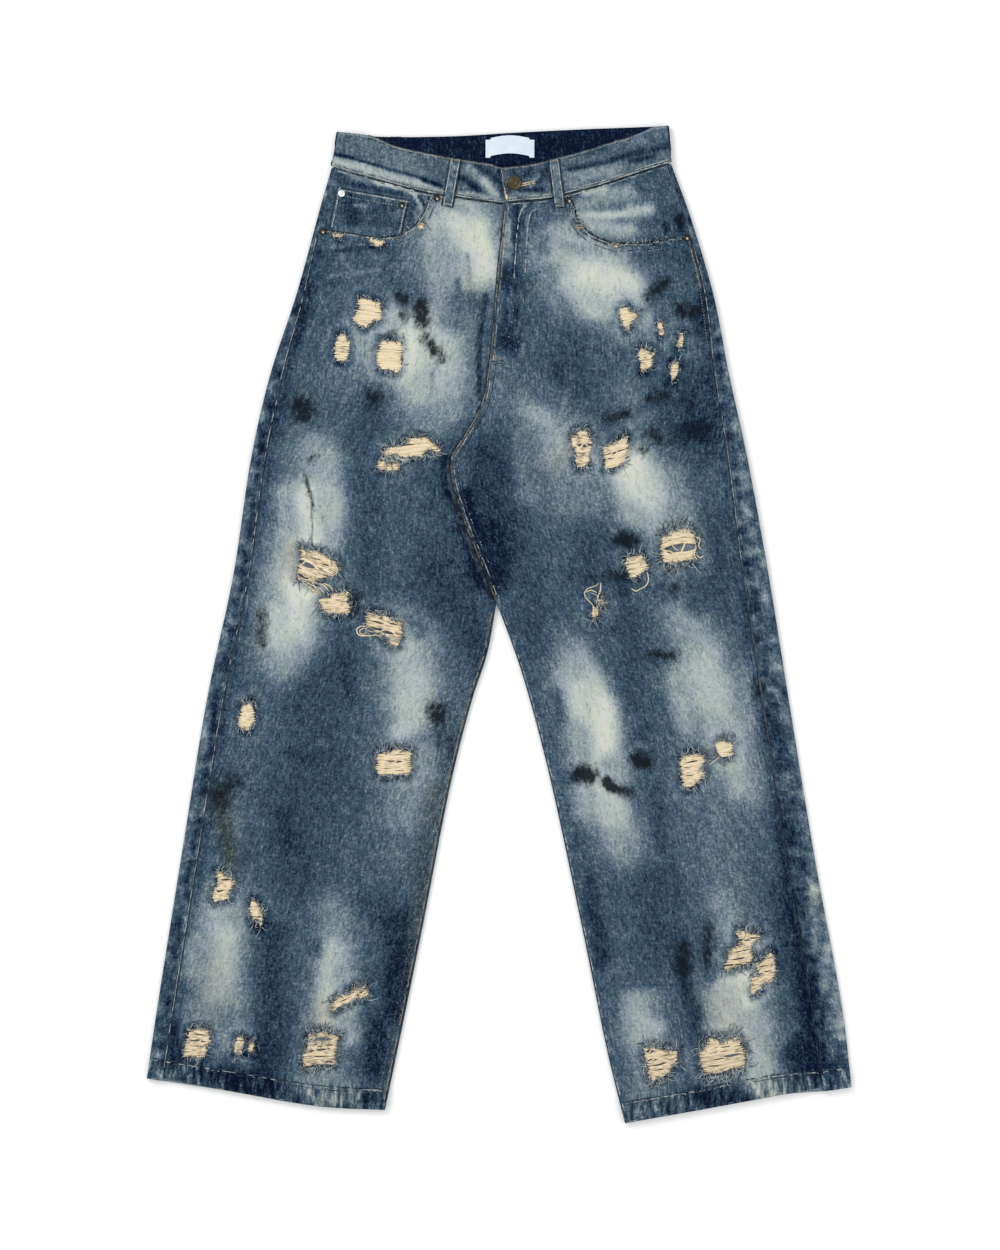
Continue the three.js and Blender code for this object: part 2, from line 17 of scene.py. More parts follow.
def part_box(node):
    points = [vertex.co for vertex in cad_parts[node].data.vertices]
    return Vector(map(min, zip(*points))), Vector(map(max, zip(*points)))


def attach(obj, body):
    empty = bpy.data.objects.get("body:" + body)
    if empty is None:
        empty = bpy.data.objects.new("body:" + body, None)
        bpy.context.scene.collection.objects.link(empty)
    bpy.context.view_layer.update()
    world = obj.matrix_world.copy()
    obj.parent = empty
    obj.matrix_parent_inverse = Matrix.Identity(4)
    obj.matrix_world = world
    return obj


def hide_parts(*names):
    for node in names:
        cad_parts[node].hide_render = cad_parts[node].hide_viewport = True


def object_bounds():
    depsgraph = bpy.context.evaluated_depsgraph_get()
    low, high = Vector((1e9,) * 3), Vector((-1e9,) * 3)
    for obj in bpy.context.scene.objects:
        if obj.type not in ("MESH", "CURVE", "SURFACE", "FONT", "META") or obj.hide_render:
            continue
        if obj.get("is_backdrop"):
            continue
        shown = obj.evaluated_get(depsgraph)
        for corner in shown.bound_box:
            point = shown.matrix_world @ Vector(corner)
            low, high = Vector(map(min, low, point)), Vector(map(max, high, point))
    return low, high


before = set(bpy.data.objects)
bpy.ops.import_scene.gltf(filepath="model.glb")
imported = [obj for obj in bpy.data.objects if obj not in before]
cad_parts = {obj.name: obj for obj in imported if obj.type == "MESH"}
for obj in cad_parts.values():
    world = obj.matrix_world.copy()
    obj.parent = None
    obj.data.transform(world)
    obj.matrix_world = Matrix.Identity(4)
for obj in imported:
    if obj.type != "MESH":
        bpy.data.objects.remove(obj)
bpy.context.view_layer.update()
chance = np.random.default_rng(11)
MM = 0.001

# ---- sizes ----

CLOTH = 1.6  # one layer of heavy denim with its seam allowances
HEM_CLOTH = 2.6
BAND_CLOTH = 2.4
GAP = 0.3
SEAM_GAP = 0.35
SHELL = 1.2  # how thick one layer shows at its cut edges
HEM_DEPTH = 25
LIFT = CLOTH + GAP  # the back pockets and loops raise the seat by this much
LIFT_FROM, LIFT_TO = -150, 150
PUFF = 1.8
POCKET_RISE = CLOTH + GAP
RISE_FLAT, RISE_END = 40, 110
GRID = 2.5  # mesh spacing on the fronts
BACK_GRID = 6
UNDERLAP = 44
RAMP = 35

# ---- the outline, from the waist to the hem or from the side to the middle ----

CROTCH = (-3, 24)
FLY = [(7, 479.5), (-3, 384), (-7, 336), (-13, 284), (-21, 248), (-39, 216), (-55, 187), (-44, 130),
       (-19, 66), CROTCH]
BACK_SEAM = [(1, 436), CROTCH]
RIGHT = {
    "sign": -1,
    "side": [(-191, 522), (-206, 467), (-231, 376), (-261, 284), (-282, 193), (-303, 56),
             (-332, -80), (-362, -263), (-391, -445), (-401.5, -517)],
    "inner": [CROTCH, (-14, -35), (-29, -80), (-53, -172), (-89, -354), (-117, -491), (-130, -553)],
    "hem": [(-401.5, -517), (-293, -534), (-204, -549), (-130, -553)],
    "band_top": [(-184, 561), (-145, 556), (-120, 545.5), (-78, 536), (-43, 529.5), (-9, 524),
                 (2, 520)],
    "band_seam": [(-191, 522), (-136, 506.5), (-83, 492.7), (-48, 487.4), (5, 480)],
    "mouth": [(-203, 449), (-177, 445.5), (-147, 440.7), (-131, 440), (-112, 442.3), (-104, 447.2),
              (-92.6, 456.8), (-84.6, 469.6), (-76.7, 490.5)],
    "seam_in": [(0, 4), (0.08, 8), (0.23, 16), (0.5, 19), (1, 19)],
}
LEFT = {
    "sign": 1,
    "side": [(196, 526.5), (217, 467), (244, 376), (262, 284), (282, 193), (307, 56), (329, -80),
             (359, -263), (392, -445), (401.5, -527)],
    "inner": [CROTCH, (19, -35), (33, -80), (57, -172), (96, -354), (124, -491), (143, -568)],
    "hem": [(401.5, -527), (375, -531), (320, -536), (217, -555), (143, -568)],
    "band_top": [(192, 568), (175, 566), (158, 558.4), (128, 549.3), (95, 539), (77, 534),
                 (55, 528.4), (43, 525), (3, 520)],
    "band_seam": [(196, 526.5), (179, 521.6), (145, 510.7), (112, 500), (78, 491.5), (62, 486.6),
                  (9, 481.5)],
    "mouth": [(214, 442), (195, 438.8), (175, 434.7), (154, 433), (132, 433), (120, 436.3),
              (105, 443), (95, 451.3), (88.4, 460), (85, 471.4), (79, 491)],
    "seam_in": [(0, 6), (0.1, 10), (0.2, 17), (0.4, 29), (1, 34)],
}
BACK_TOP = [(-184, 561), (-144, 556), (-56, 556), (15, 560), (95, 564), (174, 567), (192, 568)]
BACK_BAND_SEAM = [(-191, 522), (0, 520), (196, 526.5)]
YOKE_END = 0.83  # how far down the first stretch of the side the yoke ends
MOUTH_SHARE = 1 / 31  # how far down the outseam the hip pocket's mouth meets it
CROTCH_SHARE = 16 / 31  # how far down a back its seat seam becomes the inseam
FRONT_WIDTH, FRONT_LENGTH = 272, 1040
BACK_LENGTH = 1050
RIP_REACH = 45  # no rip is wider or taller than this about its centre
DAB_PITCH = 18  # from one pucker of an outseam to the next
DAB_OUT = 6.5
DAB_END = -495

# Broad folds of the fronts, as the solids have them: start, end, height, half width
FOLDS = [
    (-70, 200, -215, 120, 1.4, 26), (-75, 150, -230, 10, 1.2, 24), (-120, -40, -290, -95, 1.3, 28),
    (-110, -150, -300, -190, 1.0, 26), (-175, -250, -330, -330, 1.2, 30), (-45, 205, 120, 250, 1.0, 24),
    (30, 150, 210, 60, 1.4, 26), (70, 20, 250, -40, 1.2, 28), (90, -120, 280, -160, 1.2, 26),
    (140, -260, 320, -320, 1.2, 30),
]
# Finer creases laid on the fronts; a height below zero is a trough
CREASES = [
    (-22, 262, -22, 318, -0.8, 4), (-22, 318, -14, 375, -0.7, 4), (-30, 430, -31, 381, -0.4, 4),
    (-193, 438, -170, 404, 0.7, 6), (-193, 395, -136, 402, 0.6, 6), (-180, 412, -140, 425, -0.5, 6),
    (-60, 470, -85, 448, 0.5, 5), (-50, 460, -95, 425, -0.4, 6), (-215, 372, -150, 330, -0.5, 8),
    (-70, 175, -130, 200, 0.7, 7), (-66, 160, -120, 150, -0.6, 7), (-50, 120, -120, 95, 0.6, 8),
    (-240, 130, -190, 60, -0.5, 9), (-285, 60, -240, 20, 0.5, 9), (-300, -60, -250, -100, 0.5, 9),
    (-90, -60, -150, -100, -0.5, 10), (-340, -260, -290, -300, 0.5, 9),
    (-120, -300, -190, -330, -0.5, 10), (-365, -420, -320, -400, 0.5, 8),
    (60, 455, 62, 385, 0.4, 5), (46, 445, 44, 380, -0.4, 4), (110, 425, 165, 405, 0.7, 7),
    (95, 405, 150, 380, -0.5, 7), (225, 400, 190, 380, 0.5, 6), (238, 340, 200, 330, -0.5, 7),
    (-30, 200, 30, 215, 0.6, 8), (-25, 170, 50, 165, -0.6, 8), (0, 110, 60, 90, 0.5, 9),
    (20, 60, 90, 70, -0.5, 9), (280, 120, 230, 90, 0.5, 9), (300, 10, 240, -10, -0.5, 9),
    (60, -90, 110, -120, 0.5, 9), (315, -120, 270, -140, 0.5, 9), (120, -240, 180, -260, -0.5, 10),
    (350, -300, 300, -330, 0.5, 10), (150, -400, 210, -420, 0.5, 9), (370, -440, 320, -450, -0.5, 9),
]

# ---- bleached patches, and painted shade ----
# A stroke is its start and end, its half width and its tone: 0 is unwashed indigo, 1 bleached bare.
# Most strokes are bleach; the thin dark ones along creases and folds are painted shade.
BASE_TONE = 0.45
TONE_SHIFT = -0.028  # the light adds about this much
RIGHT_FADE_AND_SHADE = [
    (-190, 440, -110, 425, 10, 0.36), (-202, 415, -190, 398, 12, 0.36), (-222, 385, -235, 320, 11, 0.25),
    (-250, 310, -260, 225, 13, 0.34), (-45, 452, -30, 412, 35, 1.0), (-17, 452, -15, 408, 9, 1.0),
    (-72, 440, -62, 412, 20, 0.76), (-98, 430, -92, 410, 12, 0.58), (-75, 352, -68, 374, 15, 0.64),
    (-42, 362, -18, 360, 10, 0.45), (-156, 330, -146, 292, 18, 0.67), (-190, 275, -160, 268, 16, 0.53),
    (-128, 345, -118, 352, 14, 0.70), (-97, 322, -94, 280, 26, 1.0), (-66, 325, -66, 268, 29, 0.87),
    (-92, 248, -60, 240, 21, 0.68), (-150, 240, -150, 60, 15, 0.36), (-85, 170, -90, 60, 24, 0.42),
    (-40, 180, -10, 60, 32, 0.25), (-70, 60, -60, 5, 26, 0.29), (-262, 100, -270, 20, 16, 0.57),
    (-212, 196, -210, 170, 25, 0.72), (-214, 142, -214, 98, 23, 1.0), (-192, 190, -190, 100, 14, 0.76),
    (-240, 150, -246, 60, 12, 0.75), (-235, 92, -238, 58, 14, 0.80), (-205, 75, -195, 60, 14, 0.60),
    (-232, 30, -236, -16, 27, 1.0), (-262, 20, -266, -30, 14, 0.62), (-236, -36, -240, -48, 24, 0.80),
    (-300, 60, -305, 10, 12, 0.42), (-165, 0, -185, -60, 22, 0.36), (-215, -80, -200, -180, 32, 0.35),
    (-235, -200, -232, -282, 33, 0.34), (-245, -215, -236, -266, 10, 0.26),
    (-236, -147, -208, -158, 6, 0.26), (-176, -40, -172, -85, 7, 0.27), (-40, 10, -22, -40, 14, 0.27),
    (-103, -22, -102, -80, 33, 0.78), (-98, -60, -106, -118, 19, 0.88), (-84, -145, -88, -190, 13, 0.66),
    (-105, -180, -108, -218, 25, 0.66), (-112, -250, -118, -268, 17, 0.53),
    (-300, -195, -297, -240, 8, 0.56), (-318, -95, -322, -130, 8, 0.34),
    (-315, -290, -312, -312, 13, 0.66), (-320, -345, -322, -425, 32, 0.80),
    (-315, -352, -314, -398, 12, 0.88), (-325, -452, -302, -462, 17, 0.61),
    (-350, -350, -356, -420, 10, 0.52), (-372, -340, -386, -420, 9, 0.34),
    (-186, -330, -188, -362, 21, 0.67), (-176, -360, -172, -400, 10, 0.66),
    (-192, -372, -198, -450, 18, 0.85), (-172, -440, -172, -466, 13, 0.70),
    (-205, -505, -190, -538, 22, 0.66), (-262, -350, -255, -490, 18, 0.26),
    (-267, -475, -270, -498, 10, 0.15), (-310, -516, -262, -526, 14, 0.10),
    (-378, -462, -374, -502, 9, 0.15), (-345, -508, -320, -512, 10, 0.26),
    (-150, -320, -130, -330, 14, 0.33), (-120, -340, -114, -440, 16, 0.20),
    (-120, -385, -121, -430, 9, 0.17), (-138, -455, -140, -505, 13, 0.15),
    # on this line and the next, the strokes from (-60, 184) to (-15, 50) are painted shade in the fold of
    # the crotch, and the two thin ones from (-22, 258) to (-15, 374) are painted shade down the crease by
    # the fly
    (-145, -530, -140, -540, 12, 0.34), (-60, 184, -50, 148, 9, -0.08), (-50, 148, -33, 108, 10, -0.08),
    (-33, 108, -15, 50, 10, -0.04), (-22, 258, -23, 320, 2.6, 0.16), (-23, 320, -15, 374, 2.6, 0.22),
    (-36, 420, -34, 385, 2.4, 0.72), (-47, 392, -48, 352, 3, 0.50), (-76, 290, -77, 262, 2.4, 0.72),
    (-193, 438, -168, 402, 2.6, 0.56), (-193, 396, -136, 403, 2.6, 0.58),
    (-185, 425, -140, 430, 2.6, 0.24), (-54, 343, -46, 340, 11, 0.55), (-98, 4, -94, -6, 9, 0.50),
    # the first stroke on this line is painted shade at the foot of a rip
    (-143, -408, -143, -428, 10, 0.32), (-210, -362, -210, -374, 8, 0.42), (-56, 477, -38, 472, 5, 0.74),
    (-184, 60, -182, 52, 6, 0.42), (-256, 12, -256, -14, 13, 0.90), (-193, 150, -191, 118, 9, 0.84),
    (-217, 104, -213, 92, 9, 0.95), (-347, -362, -350, -392, 10, 0.72), (-388, -470, -384, -505, 8, 0.28),
    (-68, 418, -66, 388, 11, 0.74), (-96, 276, -92, 262, 13, 0.82),
]
LEFT_FADE_AND_SHADE = [
    (185, 440, 205, 418, 11, 0.35), (235, 372, 232, 340, 9, 0.25), (200, 285, 212, 235, 25, 0.30),
    (226, 275, 232, 200, 16, 0.28), (224, 222, 236, 219, 13, 0.10), (10, 460, 10, 415, 9, 0.60),
    (34, 440, 40, 380, 9, 0.50), (22, 478, 20, 440, 6, 0.25), (60, 425, 68, 442, 18, 0.72),
    (90, 408, 118, 378, 29, 1.08), (112, 408, 146, 384, 20, 1.0), (105, 372, 135, 356, 15, 0.86),
    (70, 412, 72, 392, 16, 0.86), (75, 430, 130, 426, 14, 0.74), (140, 360, 168, 342, 14, 0.67),
    (55, 400, 62, 368, 10, 0.62), (12, 402, 12, 380, 10, 0.24), (12, 352, 10, 322, 13, 0.23),
    (6, 323, 14, 319, 8, 0.13), (-5, 300, 0, 250, 13, 0.56), (12, 285, 20, 255, 10, 0.50),
    (80, 302, 86, 268, 23, 0.36), (67, 290, 68, 275, 7, 0.26), (138, 262, 148, 254, 14, 0.56),
    (46, 236, 56, 176, 27, 0.79), (86, 165, 96, 145, 18, 0.66), (150, 228, 170, 238, 8, 0.58),
    (90, 212, 96, 190, 15, 0.74), (70, 150, 96, 138, 20, 0.62), (40, 160, 50, 140, 16, 0.54),
    (135, 172, 150, 150, 17, 0.76), (154, 178, 170, 142, 23, 1.03), (182, 158, 190, 130, 17, 0.90),
    (200, 165, 206, 125, 14, 0.66), (150, 124, 172, 114, 16, 0.78), (208, 118, 200, 104, 14, 0.66),
    (205, 90, 210, 70, 20, 0.62), (268, 185, 280, 120, 9, 0.58), (245, 122, 252, 45, 10, 0.35),
    (290, 30, 294, 0, 9, 0.33), (10, 195, 5, 60, 26, 0.26), (-20, 190, -20, 90, 18, 0.25),
    (-6, 108, 2, 50, 10, 0.08), (35, 40, 40, -20, 20, 0.36), (105, 92, 98, 55, 20, 0.35),
    (140, 50, 142, 36, 10, 0.26), (150, 5, 148, -95, 13, 0.36), (250, 52, 256, 8, 12, 0.37),
    (120, -8, 140, -12, 9, 0.30), (70, -20, 75, -60, 14, 0.55), (97, -62, 106, -95, 21, 1.05),
    (108, -95, 122, -155, 20, 1.06), (92, -40, 84, -70, 22, 0.78), (84, -105, 92, -148, 17, 0.76),
    (130, -160, 138, -172, 12, 0.74), (112, -196, 130, -215, 19, 0.99), (124, -215, 142, -244, 21, 0.89),
    (140, -250, 154, -262, 18, 0.72), (95, -200, 104, -225, 10, 0.66), (205, 12, 216, 0, 18, 0.62),
    (215, -2, 236, -30, 23, 0.73), (228, -55, 256, -104, 28, 0.88), (278, -60, 284, -100, 14, 0.66),
    (262, -125, 278, -190, 23, 0.75), (206, -70, 214, -112, 15, 0.77), (246, -200, 262, -290, 36, 0.56),
    (165, -120, 160, -130, 9, 0.36), (178, -190, 186, -252, 8, 0.35), (175, -290, 186, -372, 25, 0.34),
    (82, -180, 90, -250, 10, 0.42), (102, -290, 118, -388, 9, 0.24), (308, -98, 321, -162, 9, 0.20),
    (325, -210, 336, -272, 12, 0.24), (328, -290, 336, -332, 8, 0.14), (328, -302, 336, -392, 18, 0.25),
    (352, -415, 354, -480, 15, 0.13), (338, -490, 372, -506, 16, 0.12), (210, -392, 216, -432, 9, 0.24),
    (158, -428, 161, -470, 23, 0.78), (168, -456, 180, -462, 9, 0.85), (165, -502, 160, -542, 16, 0.60),
    (256, -315, 258, -346, 15, 0.68), (280, -350, 291, -360, 10, 0.72), (258, -408, 262, -452, 23, 0.89),
    (283, -402, 287, -452, 11, 1.0), (293, -450, 299, -510, 17, 0.80), (296, -508, 312, -536, 16, 0.80),
    (222, -540, 268, -541, 11, 0.22), (222, -440, 226, -476, 8, 0.28), (374, -300, 391, -470, 12, 0.60),
    # the two dark strokes from (-40, 150) to (-6, 40) on this line are painted shade in the fold of the
    # crotch
    (112, 10, 118, -20, 10, 0.36), (-40, 150, -22, 100, 6, 0.02), (-22, 100, -6, 40, 6, 0.05),
    (35, 478, 24, 472, 2.6, 0.16), (30, 478, 26, 470, 2.2, 0.72), (33, 462, 32, 430, 2.0, 0.66),
    (20, 470, 17, 405, 2.0, 0.20), (5, 470, 3, 420, 2.0, 0.74), (12, 460, 10, 420, 2.0, 0.70),
    (4, 380, 0, 345, 2.0, 0.50), (14, 380, 12, 345, 2.0, 0.48), (-8, 302, 4, 302, 2.4, 0.62),
    (28, 318, 25, 306, 2.2, 0.66), (46, 262, 58, 257, 12, 0.50), (240, -392, 240, -402, 9, 0.42),
    (118, -16, 123, -42, 11, 0.43), (64, -80, 68, -110, 8, 0.44), (222, 56, 226, 20, 11, 0.42),
    (125, -408, 190, -406, 8, 0.44), (296, -262, 298, -290, 14, 0.44), (50, 438, 50, 426, 7, 0.54),
    (126, -415, 131, -445, 9, 0.44), (26, 205, 33, 150, 17, 0.57), (91, -72, 94, -98, 11, 0.94),
    (94, -192, 97, -212, 12, 0.80), (274, -470, 276, -486, 9, 0.86), (268, -166, 272, -188, 13, 0.80),
    (366, -292, 385, -400, 10, 0.64), (130, 342, 140, 332, 9, 0.62), (257, 240, 262, 205, 7, 0.44),
    (303, -408, 303, -424, 9, 0.74),
]
BACK_FADES = [
    (-95, 330, -110, 200, 45, 0.62), (-190, 60, -215, -60, 40, 0.72), (-150, -260, -180, -340, 34, 0.6),
    (-290, -330, -310, -450, 36, 0.75), (-250, 120, -260, 60, 24, 0.3), (95, 330, 110, 190, 45, 0.62),
    (170, 40, 190, -80, 42, 0.74), (240, -180, 260, -270, 36, 0.6), (300, -400, 310, -470, 34, 0.7),
    (130, -250, 150, -330, 26, 0.5),
]
BAND_FADE_AND_SHADE = [
    (-180, 552, -95, 530, 12, 0.56), (-186, 545, -180, 530, 8, 0.48), (-186, 527, -130, 512, 6, 0.86),
    # the thin dark strokes along the band's creases, from (-190, 536) to (-66, 499), from (-48, 512) to
    # (-22, 494) and from (80, 518) to (194, 545), are painted shade
    (-130, 511, -64, 496, 5, 0.84), (-78, 527, -66, 508, 7, 0.50), (-190, 536, -165, 531, 1.8, 0.02),
    (-165, 530, -140, 523, 1.5, 0.15), (-140, 523, -124, 518, 1.8, 0.22),
    (-124, 518, -104, 514, 1.9, 0.28), (-104, 513, -85, 507, 1.7, 0.22), (-128, 525, -90, 516, 4, 0.62),
    (-85, 506, -66, 499, 2.4, 0.05), (-40, 515, -10, 500, 9, 0.48), (-48, 512, -22, 494, 3.4, 0.14),
    (-26, 523, -2, 507, 3.6, 0.22), (-34, 519, -18, 505, 4.4, 0.70), (-18, 505, -4, 489, 4.0, 0.84),
    (-45, 491, -8, 486, 3, 0.72), (0, 516, 4, 492, 2.4, 0.18), (25, 512, 50, 516, 9, 0.42),
    (30, 510, 36, 516, 3, 0.20), (44, 505, 54, 519, 4, 0.22), (14, 515, 22, 520, 3, 0.34),
    (36, 500, 44, 510, 3, 0.66), (14, 489, 55, 489, 3.2, 0.64), (24, 494, 50, 495, 2.4, 0.20),
    (9, 492, 12, 498, 3, 0.3), (80, 508, 140, 519, 8, 0.72), (78, 500, 90, 504, 5, 0.66),
    (140, 519, 192, 533, 6, 0.56), (85, 530, 150, 550, 7, 0.52), (160, 553, 192, 562, 9, 0.54),
    (80, 518, 103, 523, 2.6, 0.18), (103, 523, 128, 528, 2.4, 0.28), (128, 529, 160, 538, 3.2, 0.18),
    (160, 538, 194, 545, 3.6, 0.24), (150, 527, 176, 533, 2.6, 0.26), (96, 535, 120, 542, 3, 0.38),
]
FACING_FADE_AND_SHADE = [
    (-178, 512, -100, 494, 6, 0.68), (-190, 512, -178, 508, 6, 0.32), (-195, 495, -198, 455, 7, 0.38),
    (-105, 488, -84, 482, 7, 0.52), (-100, 478, -98, 455, 3, 0.34), (-92, 482, -86, 462, 3, 0.72),
    (-96, 470, -94, 450, 2.4, 0.62), (-90, 500, -80, 496, 4, 0.30), (88, 467, 125, 465.5, 4.4, 1.0),
    (125, 465.5, 168, 471, 4.6, 0.92), (98, 478, 150, 492, 13, 0.72), (165, 505, 190, 512, 9, 0.40),
    (102, 455, 146, 448, 9, 0.82), (160, 468, 180, 470, 6, 0.62), (195, 510, 206, 478, 12, 0.42),
    (182, 470, 212, 452, 12, 0.38), (206, 465, 207, 448, 5, 0.12), (188, 455, 192, 448, 4, 0.2),
    (90, 488, 104, 492, 5, 0.38), (-140, 504, -108, 496, 2.6, 0.95), (-106, 497, -97, 492, 3.4, 0.85),
    # the three thin dark strokes about (-100, 484) on these lines are painted shade at the edges of a fold
    (-98, 492, -88, 479, 4, 0.85), (-111, 492, -105, 477, 1.8, 0.16), (-91, 487, -84, 476, 1.8, 0.08),
    (-101, 488, -95, 478, 1.4, 0.25), (-176, 504, -112, 490, 3, 0.25), (110, 496, 150, 508, 4, 0.46),
    (88, 478, 94, 474, 5, 0.70), (98, 492, 118, 497, 6, 0.86), (150, 470, 172, 473, 6, 0.86),
]
COIN_FADES = [
    (-150, 470, -122, 458, 18, 0.38), (-172, 488, -166, 458, 8, 0.16), (-182, 485, -184, 460, 4, 0.36),
    (-165, 478, -152, 477, 2.6, 0.62), (-160, 484, -130, 482, 4, 0.34), (-140, 486, -118, 482, 4, 0.50),
    (-180, 451, -125, 447, 4, 0.48), (-116, 470, -113, 450, 4, 0.56), (-134, 486, -131, 474, 2.2, 0.2),
    (-122, 488, -118, 472, 2.2, 0.24), (-112, 460, -116, 452, 3, 0.3),
]

# Black smudges: start, end, half width, strength
STAINS = [
    (-90, 364, -87, 345, 9, 1.2), (-113, 374, -108, 368, 7, 1.0), (-110, 353, -108, 350, 5, 1.0),
    (-84, 326, -66, 303, 7, 0.9), (-79, 318, -74, 308, 4, 1.2), (-144, 259, -143, 257, 12, 1.0),
    (-226, 248, -223, 242, 14, 1.1), (-221, 170, -212, 136, 2.2, 1.1), (-213, 136, -213, 78, 1.3, 0.7),
    (-218, 187, -207, 193, 4, 0.6), (-270, 12, -271, -20, 8, 0.8), (-164, 32, -166, 18, 9, 0.9),
    (-124, 331, -118, 333, 6, 0.6), (-71, -98, -70, -106, 13, 1.05), (-68, -120, -67, -137, 6, 0.6),
    (-55, -135, -53, -148, 7, 0.7), (-308, -182, -318, -196, 17, 0.85), (177, 379, 188, 388, 8, 1.0),
    (170, 373, 174, 378, 6, 0.8), (207, 358, 221, 355, 9, 1.05), (172, 256, 188, 262, 8, 0.85),
    (200, 266, 216, 264, 3, 0.5), (126, 236, 144, 239, 9, 0.85), (174, 219, 180, 212, 8, 0.85),
    (166, 201, 162, 198, 6, 0.7), (203, 214, 232, 223, 12, 0.62), (220, 262, 219, 232, 4, 0.6),
    (140, 97, 149, 95, 10, 1.25), (124, 55, 142, 57, 9, 0.8), (98, 52, 118, 55, 7, 0.4),
    (200, 39, 200, 37, 8, 0.8), (170, -34, 200, -36, 6, 0.9), (296, -68, 296, -78, 9, 0.95),
    (92, -170, 102, -172, 10, 1.35), (158, -155, 165, -156, 10, 1.3), (122, -179, 130, -187, 6, 1.5),
    (132, -188, 148, -193, 6, 1.0), (209, -368, 209, -394, 11, 1.0), (214, -405, 216, -430, 7, 0.4),
    (238, -346, 236, -384, 8, 0.75), (7, 399, 6, 394, 6, 0.7), (-26, 150, -25, 142, 6, 0.5),
    (203, 462, 206, 456, 4, 1.0), (177.6, 436.4, 177.6, 436, 4.2, 1.3),
]
# Brown tint, the same way
SCORCHES = [
    (-320, -195, -305, -270, 10, 0.7), (-322, -395, -330, -440, 22, 0.2),
    (-92, -290, -107, -410, 10, 0.35), (-40, 400, -30, 380, 12, 0.14), (-200, -440, -205, -480, 16, 0.3),
    (-75, -185, -92, -290, 8, 0.4), (250, -430, 270, -470, 20, 0.2), (86, 205, 60, 180, 12, 0.2),
    (-235, 85, -238, 60, 10, 0.3), (380, -200, 372, -320, 12, 0.3),
]

# ---- rips ----
# Each has its centre, its outline about that centre, how far its threads rise from left to right,
# the gaps where threads have parted (start, end, half height), how much its threads are browned,
# by dirt and by painted shade where they bunch, and how hairy.


def rip(centre, outline, rise=0.0, gaps=(), brown_and_shade=0.0, hair=1.0):
    return {"centre": centre, "outline": outline, "rise": rise, "gaps": gaps, "brown_and_shade": brown_and_shade, "hair": hair}


